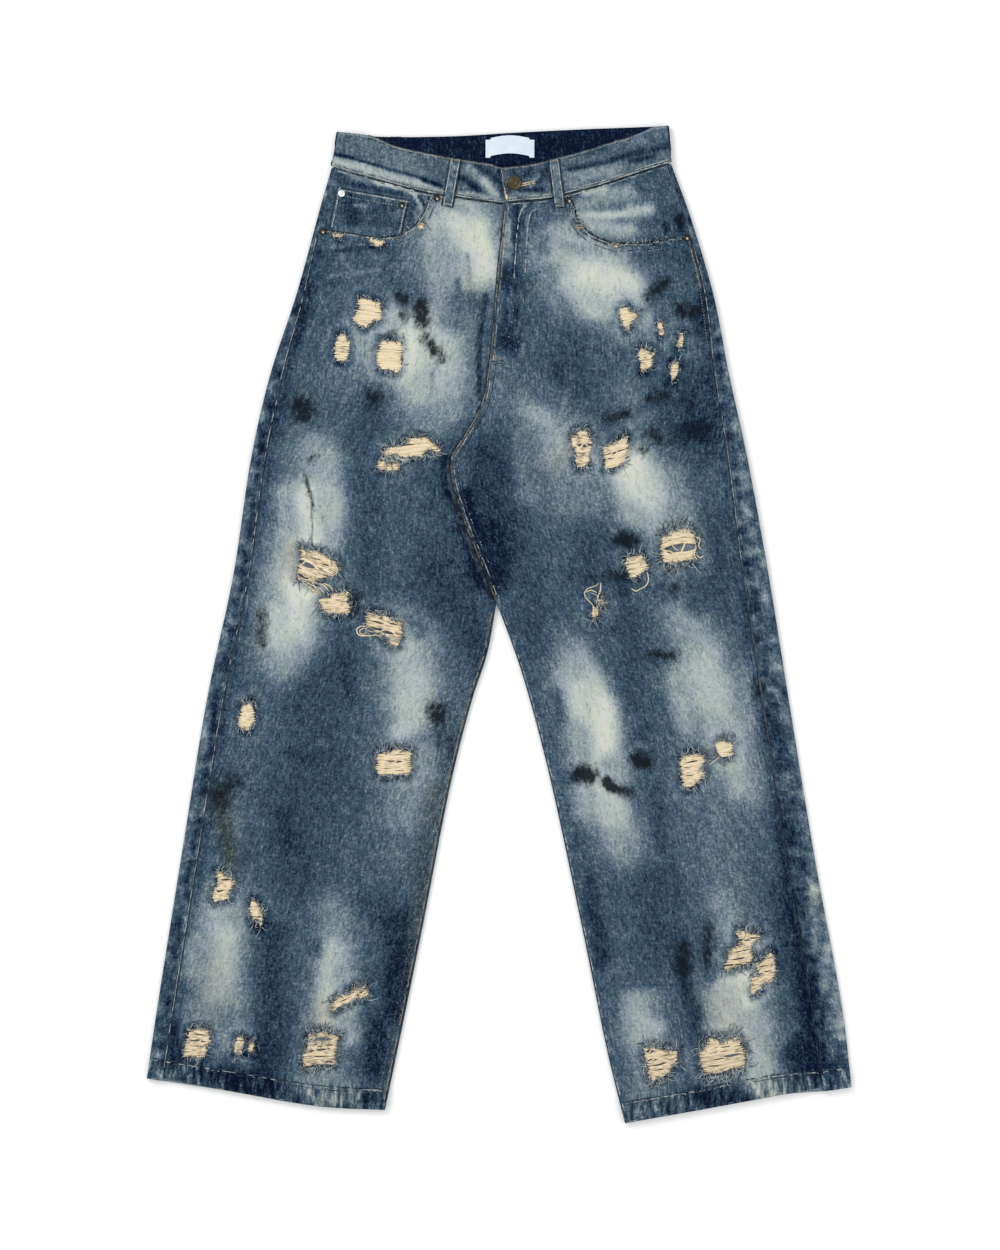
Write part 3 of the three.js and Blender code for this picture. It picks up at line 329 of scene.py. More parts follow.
RIGHT_RIPS = [
    rip((-149.6, 355), [(-8.2, 17.5), (1.6, 15), (14, 11.2), (16.1, 3.4), (16.4, -5.5), (13.7, -9.3),
        (5.5, -8.9), (2.5, -13.7), (-3.4, -17.1), (-11.6, -14), (-16.4, -9.3), (-13.7, 1.4), (-10.3, 6.2),
        (-12, 11.6)], -0.15, (), 0.1, 0.5),
    rip((-179.8, 314.6), [(-3.4, 15), (4.5, 16.5), (8.5, 8), (9.5, 0), (7.5, -10), (3, -15.5), (-5, -14),
        (-8, -4), (-6.5, 7)], 0, (), 0.3, 0.5),
    rip((-124.6, 305), [(-9.1, 18.7), (1.8, 17.3), (13.7, 17.7), (14.8, 5.7), (14.3, -8), (12.5, -16),
        (8, -18.9), (0.5, -14.8), (-10.5, -14.8), (-14.4, -9.1), (-14.8, 3), (-11.9, 12.5)], -0.05, (),
        0.0, 0.6),
    rip((-102.9, 195.5), [(-31.5, -2.7), (-28.7, 3.4), (-20.5, 6.8), (-6.8, 7.5), (-0.7, 14.4),
        (5.5, 17.1), (16.4, 18.1), (23.3, 16.4), (26.7, 12.3), (33.5, 9.4), (36, 2.4), (31, -3),
        (27, 3.4), (20.5, 1.4), (15, -5.5), (6.8, -4.4), (-1.4, -5.7), (-9.6, -4.8), (-26, -5.2)],
        0.1, [(-12, 8, 14, 10, 0.8)], 0.3),
    rip((-125, 178.5), [(-13, 7.6), (8.5, 7.2), (13, 3.5), (12, -3), (2, -4), (-11, -2.5), (-14, 1)],
        0, (), 0.5),
    rip((-206.6, 65.6), [(-20.5, 21.2), (-2.7, 18.5), (6.8, 15), (13.7, 9.6), (20.5, 6.2), (24.6, 1.4),
        (24.4, -4.1), (19.8, -9.6), (12.3, -12.3), (1.6, -13.7), (-6.8, -20.5), (-15, -14), (-22.6, -15),
        (-24.6, -12.3), (-23.5, -4.1), (-20.5, 9.6)], -0.35, [(-22, 6, -2, -1, 3.2),
        (-23, -8, -9, -14, 2.2), (4, 3, 16, 1, 1.2), (-2, -8, 8, -9, 1.0), (-18, 12, 4, 8, 0.9)],
        0.8, 1.2),
    rip((-186.1, 25.7), [(-6.2, 8.9), (13.7, 12.3), (14, 2.7), (17.8, -10.9), (13.7, -13.7),
        (-1.4, -13.3), (-12.3, -13), (-16.4, -6.8), (-20.5, 2), (-13.7, 4.8), (-6.8, 4.8)],
        0.05, [(-10, 0, 6, 2, 0.6)], 0.4, 1.1),
    rip((-133.7, -2.9), [(-17.8, 17.1), (-9.6, 15), (0, 13.7), (9.6, 11.6), (11.6, 8.2), (24.6, 6.2),
        (24.9, -5.5), (21.9, -12.3), (20.5, -20.5), (17.1, -22.2), (6.8, -20.5), (8.5, -13), (0, -8.5),
        (-9.6, -4.4), (-16.4, -0.7), (-19.8, 6.2)], -0.25, [(-14, 8, 8, 2, 1.3), (-14, 0, 14, -8, 1.7),
        (2, 9, 20, 1, 0.9), (2, -6, 20, -8, 0.9)], 0.7),
    rip((-287.6, -106.6), [(-4.8, 13.7), (2, 17.1), (6.2, 18.5), (6.8, 12.3), (9.3, 6.8), (10.3, -1.4),
        (5.5, -8.2), (2, -14.4), (-2, -13), (-9.6, -9.6), (-9.3, -0.7), (-6.8, 6.8)], -0.1, (), 0.35),
    rip((-118.8, -157.9), [(-19.2, 10.7), (-6.8, 13), (5.5, 16.4), (13, 14.1), (20.8, 12.3), (18.5, 4.1),
        (20.2, -5.5), (16.7, -13.7), (4.1, -13), (-9.6, -14), (-20.5, -13), (-22.6, -6.8), (-20.8, 1.4),
        (-22.2, 6.2)], 0.03, [(-12, 3, 12, 1, 1.3), (8, 2, 17, 6, 0.9), (-4, 9, 14, 10, 0.8),
        (-16, -6, 0, -7, 0.8)], 0.4),
    rip((-314.9, -298.1), [(-6.8, 17.8), (-1.4, 16.1), (2.7, 12.3), (10.9, 9.8), (14.1, 6.8), (13, 0.7),
        (8.2, -4.4), (7.9, -13.7), (-0.7, -16.7), (-8.9, -18.5), (-12.7, -13.7), (-11.6, -6.8),
        (-7.5, -0.7), (-6.8, 6.8)], 0.1, [(-9, -7, 1, -5, 1.5), (-4, 6, 8, 8, 0.9)], 0.6),
    rip((-278.4, -326.6), [(-1.6, 13.7), (2.7, 9.3), (6.8, 3.4), (9.8, -1.4), (8.2, -13.7), (6.4, -18.9),
        (4.8, -11.6), (1.6, -7.9), (-2.5, -10.3), (-5.2, -5.5), (-6.2, 4.1), (-4.8, 10.9)], 0, (), 0.6),
    rip((-170.1, -423.5), [(2.5, 12), (7.5, 8.9), (17.8, 10.9), (21.9, 3.4), (18.5, -1.6), (6.8, -1.6),
        (0.7, -6.2), (-6.2, -9.8), (-15, -14), (-19.8, -18.5), (-21.2, -11.6), (-16.4, -2.7), (-10.3, 2),
        (-0.7, 3.8)], 0.4, [(8, 2, 16, 6, 1.8), (-12, -6, 0, -2, 1.2)], 0.8),
    rip((-345.7, -477.1), [(-7.5, 15), (10.9, 17.5), (15.3, 13.7), (16.7, 1.4), (13, -5.5), (11.2, -15.3),
        (2.7, -16.4), (-6.2, -15.3), (-15, -15.3), (-13.7, -6.8), (-10.7, 1.4)],
        -0.05, [(-7, 4, 12, 2, 1.4), (-8, -3, 10, -4, 1.1), (-4, 10, 12, 9, 0.9)], 0.7),
    rip((-293.3, -479.4), [(-5.5, 8.9), (1.1, 9.6), (2.7, 4.1), (0.7, -1.6), (0, -9.8), (-5.5, -10.7),
        (-9.2, -6.6), (-7.1, 2)], 0, (), 0.6),
    rip((-282.5, -480.5), [(-2.5, 4.5), (2, 6.2), (3.8, 0.5), (1.5, -6), (-2.3, -7), (-3.5, -3)], 0, (),
        0.7),
    rip((-204.3, -487.4), [(-14.4, 20.5), (-3.4, 22.2), (6.8, 24.6), (10.9, 21.2), (23.3, 19.2),
        (20.5, 9.6), (19.8, 1.4), (18.5, -6.8), (17.1, -14), (6.8, -13), (-4.1, -14.4), (-19.2, -17.5),
        (-20.5, -6.8), (-16.4, 2.7), (-13.7, 10.9)], 0.05, [(-12, 7, 16, 9, 1.5), (-14, 1, 12, 4, 1.5),
        (2, -9, 16, -11, 1.3), (-16, -5, 4, -4, 1.0), (-12, 15, 14, 15, 2.4)], 0.75, 1.3),
    rip((-144, 439.5), [(-3, 0.5), (12, -2.6), (14, -4.5), (7, -10), (3, -8.5), (-2, -4)], 0, (),
        0.3, 0.25),
    rip((-88.8, 452.6), [(-4.4, 1.6), (-1, 5.2), (3.6, 3.4), (2.4, -1), (-2, -3.6)], 0, (), 0.3, 0.25),
    rip((-184, 444.6), [(-6, 1), (7, -0.4), (5, -4), (-4, -3.2)], 0, (), 0.4, 0.25),
]
LEFT_RIPS = [
    rip((92, 451.5), [(-4.5, 3.5), (1.5, 4.5), (4.5, 1.5), (3, -2.2), (-1.5, -3.4), (-4.5, -0.5)], 0, (),
        0.7, 0.3),
    rip((132.5, 431.5), [(-3.5, 2.5), (3, 3.4), (4.2, 0.5), (1, -3.5), (-2.8, -2.8)], 0, (), 0.7, 0.3),
    rip((145.6, 348.3), [(-8.2, 12.3), (1.6, 13), (3.4, 7.5), (13, 5.7), (12, 0.7), (5.5, -3),
        (2.7, -10.9), (-1.1, -14), (-4.8, -8.2), (-6.2, -1.6), (-8.9, 2.7)], 0.1, (), 0.35, 0.7),
    rip((182.1, 335.7), [(-1.6, 8.9), (3.8, 7.5), (4.1, 1.4), (6.4, -3), (4.1, -7.1), (0, -6.2), (-1, 0),
        (-2.5, 4.1)], 0, (), 0.7, 0.6),
    rip((206, 324), [(-1.5, 8.5), (3.3, 7.1), (4, 2.4), (2.6, -7.9), (-2.2, -9.3), (-4.2, -4.5),
        (-0.8, 2.4)], 0, (), 0.6, 0.6),
    rip((199.5, 288), [(-1.9, 10.3), (5, 11), (5, 1.4), (1.6, -6.8), (-3.2, -11.6), (-4.6, -1.3),
        (-4.6, 5.5)], 0.1, (), 0.6, 0.6),
    rip((166.2, 301.5), [(-4.8, 13), (2.7, 12.3), (5.5, 8.2), (11.6, 9.6), (7.5, 2.7), (8.2, -4.1),
        (4.8, -9.6), (-4.1, -13.7), (-6.2, -9.6), (-5.5, -1.4), (-8.2, 6.8)], 0.15, [(-2, 2, 4, 4, 0.8)],
        0.4, 0.7),
    rip((93.2, 200.1), [(-2.7, 20.5), (5.5, 21.2), (9.6, 13.7), (13.7, 6.8), (11.6, 0), (9.6, -8.2),
        (8.9, -16.4), (2.7, -20.5), (-4.8, -21.2), (-6.8, -13.7), (-6.8, -4.1), (-10.9, 2.7),
        (-12.3, 10.9), (-6.8, 17.8)], 0.05, [(-5, 3.6, 12, 4.2, 1.8), (-9, 0, -4, 3, 1.3),
        (-4, -9, 8, -7, 0.8)], 0.7),
    rip((133.1, 195.5), [(-15, 6.2), (-9.6, 7.5), (1.4, 13), (13, 19.2), (14.4, 6.8), (13, -1.4),
        (9.6, -10.9), (1.4, -15.7), (-11.6, -18.5), (-13.7, -10.9), (-13.7, -2.7)],
        0.3, [(-10, -2.5, 9, 4, 1.4), (-11, -6.5, -4, -6, 1.0)], 0.3),
    rip((204.9, 89.5), [(-20.5, 9.6), (-9.6, 15), (4.1, 21.2), (12.3, 17.8), (17.8, 11.6), (20.5, 4.1),
        (19.8, -5.5), (17.8, -12.3), (13.7, -15.7), (0, -18.5), (-9.6, -20.5), (-17.8, -17.8),
        (-21.9, -9.6), (-21.9, 0)], 0.12, [(-18, 3, 18, 8, 0.9), (-17, -3.5, 20, -1, 5.2),
        (-14, -8, -4, -7, 1.4)], 0.35, 1.8),
    rip((157, 62.1), [(-12.3, 13.7), (-2.7, 16.4), (4.1, 17.1), (10.9, 8.2), (12.3, 2.7), (9.6, -1.4),
        (-1.4, -8.2), (-8.2, -8.9), (-10.3, -1.4), (-13.7, 6.8)], 0.15, (), 0.35),
    rip((109.5, 13.5), [(-3.4, 6.5), (3.5, 6), (3, -3), (-1.5, -7), (-4, -2)], 0, (), 0.4, 1.4),
    rip((117, 26), [(-4.5, 3), (1.5, 2), (3.6, -2.5), (-2, -5), (-5, -2.4)], 0, (), 0.4, 1.4),
    rip((218.6, -165.9), [(-11.6, 15.7), (0, 17.8), (9.6, 19.8), (14.4, 14.4), (17.5, 9.6), (10.9, 2.7),
        (16.4, -5.5), (13, -9.6), (6.8, -13.7), (2.7, -18.5), (-6.8, -20.5), (-9.6, -13.7), (-11.6, -6.8),
        (-10.9, 0), (-13, 6.8)], 0.15, [(-10, 8, 10, 12, 1.3), (-10, 3, 4, 4, 1.0), (-8, -7, 6, -5, 0.8)],
        0.4),
    rip((257.4, -138.5), [(-8.2, 5.5), (5.5, 6.2), (8.9, 1.4), (8.2, -10.9), (-1.4, -12.3), (-6.8, -11.6),
        (-10.3, -5.5), (-10.3, 1.4)], 0.1, [(-4, -3, 4, -1, 0.5)]),
    rip((280.2, -368.8), [(-8.9, 21.9), (-1.4, 18.9), (16.4, 15.7), (17.5, 12), (10.9, 7.5), (7.5, 2),
        (6.8, -4.1), (10.3, -10.3), (7.5, -14.4), (0, -18.1), (-9.6, -20.5), (-21.2, -26.7),
        (-23.9, -23.3), (-22.2, -15), (-18.9, -5.5), (-15.7, 0.7), (-8.9, 3.4), (-6.8, 9.6), (-9.6, 15)],
        0.15, [(-8, 8, 14, 12, 1.2), (-18, -13, 6, -11, 1.1), (-22, -20, -2, -18, 1.2),
        (-14, -4, 4, -2, 0.8)], 0.45),
    rip((299.5, -399.6), [(-9.6, 13.7), (0, 16.4), (9.6, 27.4), (13, 21.9), (15.7, 9.6), (14.4, 0),
        (10.9, -6.8), (2.7, -8.9), (-2.7, -16.4), (-11.6, -22.6), (-13.7, -17.8), (-13.7, -6.8),
        (-11.6, -1.4), (-6.2, -2.7), (-4.8, 4.1), (-8.2, 10.9)], 0.25, [(-4, 9, 13, 13, 1.1),
        (-3, 2, 13, 6, 1.0), (-12, -12, -2, -10, 0.9)], 0.5),
    rip((183.3, -499.9), [(-18.9, 17.5), (-9.6, 18.9), (-1.4, 15.7), (9.6, 15), (21.6, 13.7), (20.5, 3.4),
        (14.8, -1.6), (12.3, -9.3), (6.8, -13.7), (-1.4, -16.7), (-7.9, -20.8), (-14.8, -13), (-14, -4.1),
        (-18.1, 4.8)], 0.2, [(-15, 4, -1, 4, 1.5), (-10, -3, 8, 1, 1.3), (-9, -9, 5, -6, 1.0),
        (-16, 13, -6, 14, 1.8), (4, 9, 18, 11, 0.9)], 0.65, 1.6),
    rip((255.1, -490.8), [(-28.7, 1.4), (-20.5, 9.6), (-16.4, 19.2), (-6.8, 19.8), (-4.8, 13.7),
        (6.8, 19.2), (16.4, 21.9), (20.5, 15), (26, 6.8), (27.4, -6.8), (23.3, -13.7), (10.9, -15),
        (-4.1, -20.5), (-20.5, -21.9), (-25.3, -13.7), (-27.4, -6.8)], 0.2, [(-14, 2, 8, 5, 1.1),
        (0, -2, 20, 2, 1.6), (-16, -6, 2, -4, 1.0), (-12, 8, 22, 11, 1.1), (-18, -13, 4, -11, 0.9),
        (2, 6, 24, 7, 0.8)], 0.55, 1.6),
]

# ---- small maths ----


def ease(share):
    share = np.clip(share, 0, 1)
    return share * share * (3 - 2 * share)


def bell(away, width):
    """One at no distance, falling smoothly to nothing past the width."""
    return np.exp(-((away / width) ** 2))


def closed(outline):
    return np.vstack([outline, outline[:1]])


def even(line, count):
    """Points at equal steps along a line of straight stretches."""
    line = np.array(line, float)
    steps = np.linalg.norm(np.diff(line, axis=0), axis=1)
    reach = np.concatenate([[0], np.cumsum(steps)])
    at = np.linspace(0, reach[-1], count)
    return np.stack([np.interp(at, reach, column) for column in line.T], axis=1)


def flowing(points, count):
    """Points at equal steps along a smooth curve through the given ones."""
    given = np.array(points, float)
    gaps = np.sqrt(np.linalg.norm(np.diff(given, axis=0), axis=1))[:, None]
    slopes = np.diff(given, axis=0) / gaps
    inside = (slopes[:-1] * gaps[1:] + slopes[1:] * gaps[:-1]) / (gaps[:-1] + gaps[1:])
    tangents = np.vstack([slopes[:1], inside, slopes[-1:]])
    t = np.linspace(0, 1, 25)[:-1, None]
    spans = []
    for i, gap in enumerate(gaps):
        start, end = given[i], given[i + 1]
        leave, arrive = tangents[i] * gap, tangents[i + 1] * gap
        spans.append(
            (2 * t**3 - 3 * t**2 + 1) * start + (t**3 - 2 * t**2 + t) * leave
            + (3 * t**2 - 2 * t**3) * end + (t**3 - t**2) * arrive
        )
    return even(np.vstack([*spans, given[-1:]]), count)


def stretch_distance(points, start, end):
    start, along = np.array(start, float), np.subtract(end, start).astype(float)
    t = np.clip((points - start) @ along / max(along @ along, 1e-9), 0, 1)
    return np.linalg.norm(points - start - t[:, None] * along, axis=1)


def ridges_at(points, ridges):
    """The height that folds or creases add at each point."""
    return sum(height * bell(stretch_distance(points, (x0, y0), (x1, y1)), width)
               for x0, y0, x1, y1, height, width in ridges)


def line_distance(points, line):
    return np.min([stretch_distance(points, a, b) for a, b in zip(line[:-1], line[1:])], axis=0)


def inside_of(points, outline):
    """Which points lie inside a closed outline."""
    x, y = points.T
    hit = np.zeros(len(points), bool)
    for (x0, y0), (x1, y1) in zip(outline, np.roll(outline, -1, axis=0)):
        if y0 != y1:
            crosses = (y0 > y) != (y1 > y)
            hit ^= crosses & (x < (x1 - x0) * (y - y0) / (y1 - y0) + x0)
    return hit


def clouds(points, size, seed):
    """Soft random values about zero, one for each point."""
    return np.array([noise.noise(Vector((x / size, y / size, seed))) for x, y in points])


def coons(top, bottom, left, right, u, v):
    """The place at (u, v) inside four border lines. u runs across and v down."""
    def on(line, share):
        at = share * (len(line) - 1)
        return np.stack([np.interp(at, np.arange(len(line)), c) for c in line.T], axis=1)
    u2, v2 = u[:, None], v[:, None]
    down = (1 - v2) * on(top, u) + v2 * on(bottom, u)
    across = (1 - u2) * on(left, v) + u2 * on(right, v)
    corners = (1 - v2) * ((1 - u2) * top[0] + u2 * top[-1])
    corners += v2 * ((1 - u2) * bottom[0] + u2 * bottom[-1])
    return down + across - corners


# ---- heights ----


def lift_at(y):
    return LIFT * ease((y - LIFT_FROM) / (LIFT_TO - LIFT_FROM))


def across_line(y, line):
    """The x of a line that runs down the garment, at the heights given."""
    line = np.array(line, float)[::-1]
    return np.interp(y, line[:, 1], line[:, 0])


def front_edges(leg):
    """The side of a front from the top down, and how far in its outseam lies."""
    side = leg["side"]
    yoke_end = np.array(side[0]) + YOKE_END * np.subtract(side[1], side[0])
    line = flowing([tuple(yoke_end), *side[1:]], 240)
    share = np.linspace(0, 1, len(line))
    inset = np.interp(share, *zip(*leg["seam_in"]))
    return line, share, inset


def outseam_of(leg, inwards=0.0):
    """The line of an outseam on top, or one a little further in."""
    side, _, inset = front_edges(leg)
    return side - np.stack([leg["sign"] * (inset + inwards), 0 * inset], axis=1)


def front_height(leg, points):
    """The top of a front panel over each point."""
    x, y = points.T
    side = across_line(y, leg["side"])
    middle = across_line(y, FLY[:-1] + leg["inner"])
    across = np.clip((x - side) / (middle - side), 0, 1)
    from_hem = line_distance(points, leg["hem"])
    from_mouth = line_distance(points, leg["mouth"])
    free = ease(across / 0.22) * ease((1 - across) / 0.22)
    free *= ease((480 - y) / 120) * ease((from_hem - HEM_DEPTH) / 80)
    creases = ridges_at(points, CREASES)
    rise = 1 - ease((from_mouth - RISE_FLAT) / (RISE_END - RISE_FLAT))
    hem = 1 - ease((from_hem - HEM_DEPTH) / 3)
    flat = lift_at(y) + 2 * CLOTH + GAP + rise * POCKET_RISE
    puffed = PUFF + ridges_at(points, FOLDS)
    return flat + 2 * (HEM_CLOTH - CLOTH) * hem + free * puffed + creases * (1 - hem)


# ---- meshes ----


def grid_mesh(name, columns, rows):
    """A flat grid with its (u, v) places: u runs across from the first column, v down."""
    bm = bmesh.new()
    bmesh.ops.create_grid(bm, x_segments=columns, y_segments=rows, size=1)
    mesh = bpy.data.meshes.new(name)
    bm.to_mesh(mesh)
    bm.free()
    flat = places(mesh)
    return mesh, (flat[:, 0] + 1) / 2, (1 - flat[:, 1]) / 2


def places(mesh):
    at = np.zeros(len(mesh.vertices) * 3, np.float32)
    mesh.vertices.foreach_get("co", at)
    return at.reshape(-1, 3).astype(float)


def put(mesh, points):
    mesh.vertices.foreach_set("co", (np.asarray(points) * MM).astype(np.float32).ravel())
    mesh.update()


def paint(mesh, **values):
    for name, value in values.items():
        layer = mesh.attributes.new(name, "FLOAT", "POINT")
        layer.data.foreach_set("value", np.broadcast_to(value, len(mesh.vertices)).astype(np.float32))


def face_out(mesh, towards, above=-math.inf):
    """Turns an open sheet over if its faces above a height look away from a direction on the whole."""
    total = sum((p.normal * p.area for p in mesh.polygons if p.center.z > above * MM), Vector())
    if total.dot(Vector(towards)) < 0:
        bm = bmesh.new()
        bm.from_mesh(mesh)
        bmesh.ops.reverse_faces(bm, faces=bm.faces)
        bm.to_mesh(mesh)
        bm.free()


def grain_map(mesh, lean):
    """The cloth's own flat coordinates, in metres: across the leg, and along its grain."""
    at = places(mesh)
    layer = mesh.uv_layers.new(name="grain")
    corner = np.zeros(len(mesh.loops), np.int32)
    mesh.loops.foreach_get("vertex_index", corner)
    flat = np.stack([at[:, 0] - lean(at[:, 1] / MM) * MM, at[:, 1] + at[:, 2] * 2], axis=1)
    layer.data.foreach_set("uv", flat[corner].astype(np.float32).ravel())


def add_piece(name, mesh, materials, slot, *solids):
    for material in materials:
        mesh.materials.append(material)
    mesh.polygons.foreach_set("use_smooth", np.ones(len(mesh.polygons), bool))
    mesh.update()
    made = bpy.data.objects.new(name, mesh)
    bpy.context.scene.collection.objects.link(made)
    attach(made, "root")
    if solids:
        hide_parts(*solids)
    return made


def thicken(piece, thickness, hem_share=None):
    """Gives a sheet its wall, inwards from the side that shows."""
    shell = piece.modifiers.new("cloth", "SOLIDIFY")
    shell.thickness = thickness * MM
    shell.offset = -1
    shell.use_even_offset = False
    shell.material_offset = 1
    shell.material_offset_rim = 0
    if hem_share is not None:
        group = piece.vertex_groups.new(name="hem")
        for index in np.flatnonzero(hem_share > 0.01):
            group.add([int(index)], float(hem_share[index]), "REPLACE")
        shell.vertex_group = "hem"
        shell.thickness_vertex_group = SHELL / thickness


def strands(name, paths, radii, tints, material, slot, sides=5, flat=1.0):
    """Many yarns as one joined mesh: paths is (yarns, points, 3), radii (yarns, points)."""
    yarns, points, _ = paths.shape
    around = sides + 1
    bm = bmesh.new()
    bmesh.ops.create_grid(bm, x_segments=points - 1, y_segments=yarns * around - 1, size=1)
    bm.faces.ensure_lookup_table()
    between = [f for i, f in enumerate(bm.faces) if (i // (points - 1)) % around == sides]
    bmesh.ops.delete(bm, geom=between, context="FACES")
    mesh = bpy.data.meshes.new(name)
    bm.to_mesh(mesh)
    along = np.gradient(paths, axis=1)
    along /= np.linalg.norm(along, axis=2, keepdims=True) + 1e-9
    sideways = np.cross(along, (0, 0, 1.0))
    sideways /= np.linalg.norm(sideways, axis=2, keepdims=True) + 1e-9
    upwards = np.cross(sideways, along)
    turn = np.linspace(0, 2 * math.pi, around)[None, :, None, None]
    ring = np.cos(turn) * sideways[:, None] + np.sin(turn) * flat * upwards[:, None]
    ring[:, -1] = ring[:, 0]
    put(mesh, (paths[:, None] + ring * radii[:, None, :, None]).reshape(-1, 3))
    tints = tints if tints.ndim == 2 else np.repeat(tints[:, None], points, axis=1)
    paint(mesh, tint=np.repeat(tints[:, None], around, axis=1).ravel())
    bm.clear()
    bm.from_mesh(mesh)
    bmesh.ops.remove_doubles(bm, verts=bm.verts, dist=1e-7)
    bmesh.ops.recalc_face_normals(bm, faces=bm.faces)
    bm.to_mesh(mesh)
    bm.free()
    return add_piece(name, mesh, [material], slot)


# ---- materials ----


def linear(colour):
    """An sRGB hex colour as linear RGBA."""
    parts = [int(colour[i:i + 2], 16) / 255 for i in (1, 3, 5)]
    return (*[c / 12.92 if c <= 0.04045 else ((c + 0.055) / 1.055) ** 2.4 for c in parts], 1)


def new_material(name):
    material = bpy.data.materials.new(name)
    material.use_nodes = True
    tree = material.node_tree
    tree.nodes.clear()
    return material, tree


def node(tree, kind, settings=(), **inputs):
    """Adds a node. Settings are its own properties, inputs its sockets by name or number."""
    made = tree.nodes.new("ShaderNode" + kind)
    for key, value in dict(settings).items():
        setattr(made, key, value)
    for key, value in inputs.items():
        socket = made.inputs[int(key[1:]) if key[0] == "_" else key.replace("_", " ")]
        if isinstance(value, bpy.types.NodeSocket):
            tree.links.new(value, socket)
        else:
            socket.default_value = value
    return made


def ramp(tree, value, stops):
    made = node(tree, "ValToRGB", Fac=value)
    band = made.color_ramp
    while len(band.elements) < len(stops):
        band.elements.new(0.5)
    for element, (at, colour) in zip(band.elements, stops):
        element.position = at
        element.color = linear(colour) if isinstance(colour, str) else (colour, colour, colour, 1)
    return made.outputs["Color"]


def finish(material, relief=None, strength=0.0, depth=0.0, **looks):
    """Gives a material its relief, the given metres deep, then its shader and its output."""
    tree = material.node_tree
    if relief is not None:
        bump = node(tree, "Bump", Strength=strength, Distance=depth, Height=relief)
        looks["Normal"] = bump.outputs[0]
    shader = node(tree, "BsdfPrincipled", **looks)
    node(tree, "OutputMaterial", Surface=shader.outputs[0])
    return material


def sums(tree, *parts):
    """Adds values together, each times its weight."""
    total = None
    for value, weight in parts:
        scaled = node(tree, "Math", {"operation": "MULTIPLY"}, _0=value, _1=weight)
        if total is None:
            total = scaled.outputs[0]
        else:
            total = node(tree, "Math", {"operation": "ADD"}, _0=total,
                         _1=scaled.outputs[0]).outputs[0]
    return total


INDIGO_STEPS = [(0, "#071129"), (0.15, "#1a2a3f"), (0.30, "#2e4254"), (0.45, "#425868"),
                (0.60, "#687883"), (0.75, "#929ea2"), (0.90, "#b6beba"), (1.0, "#ced0c6")]


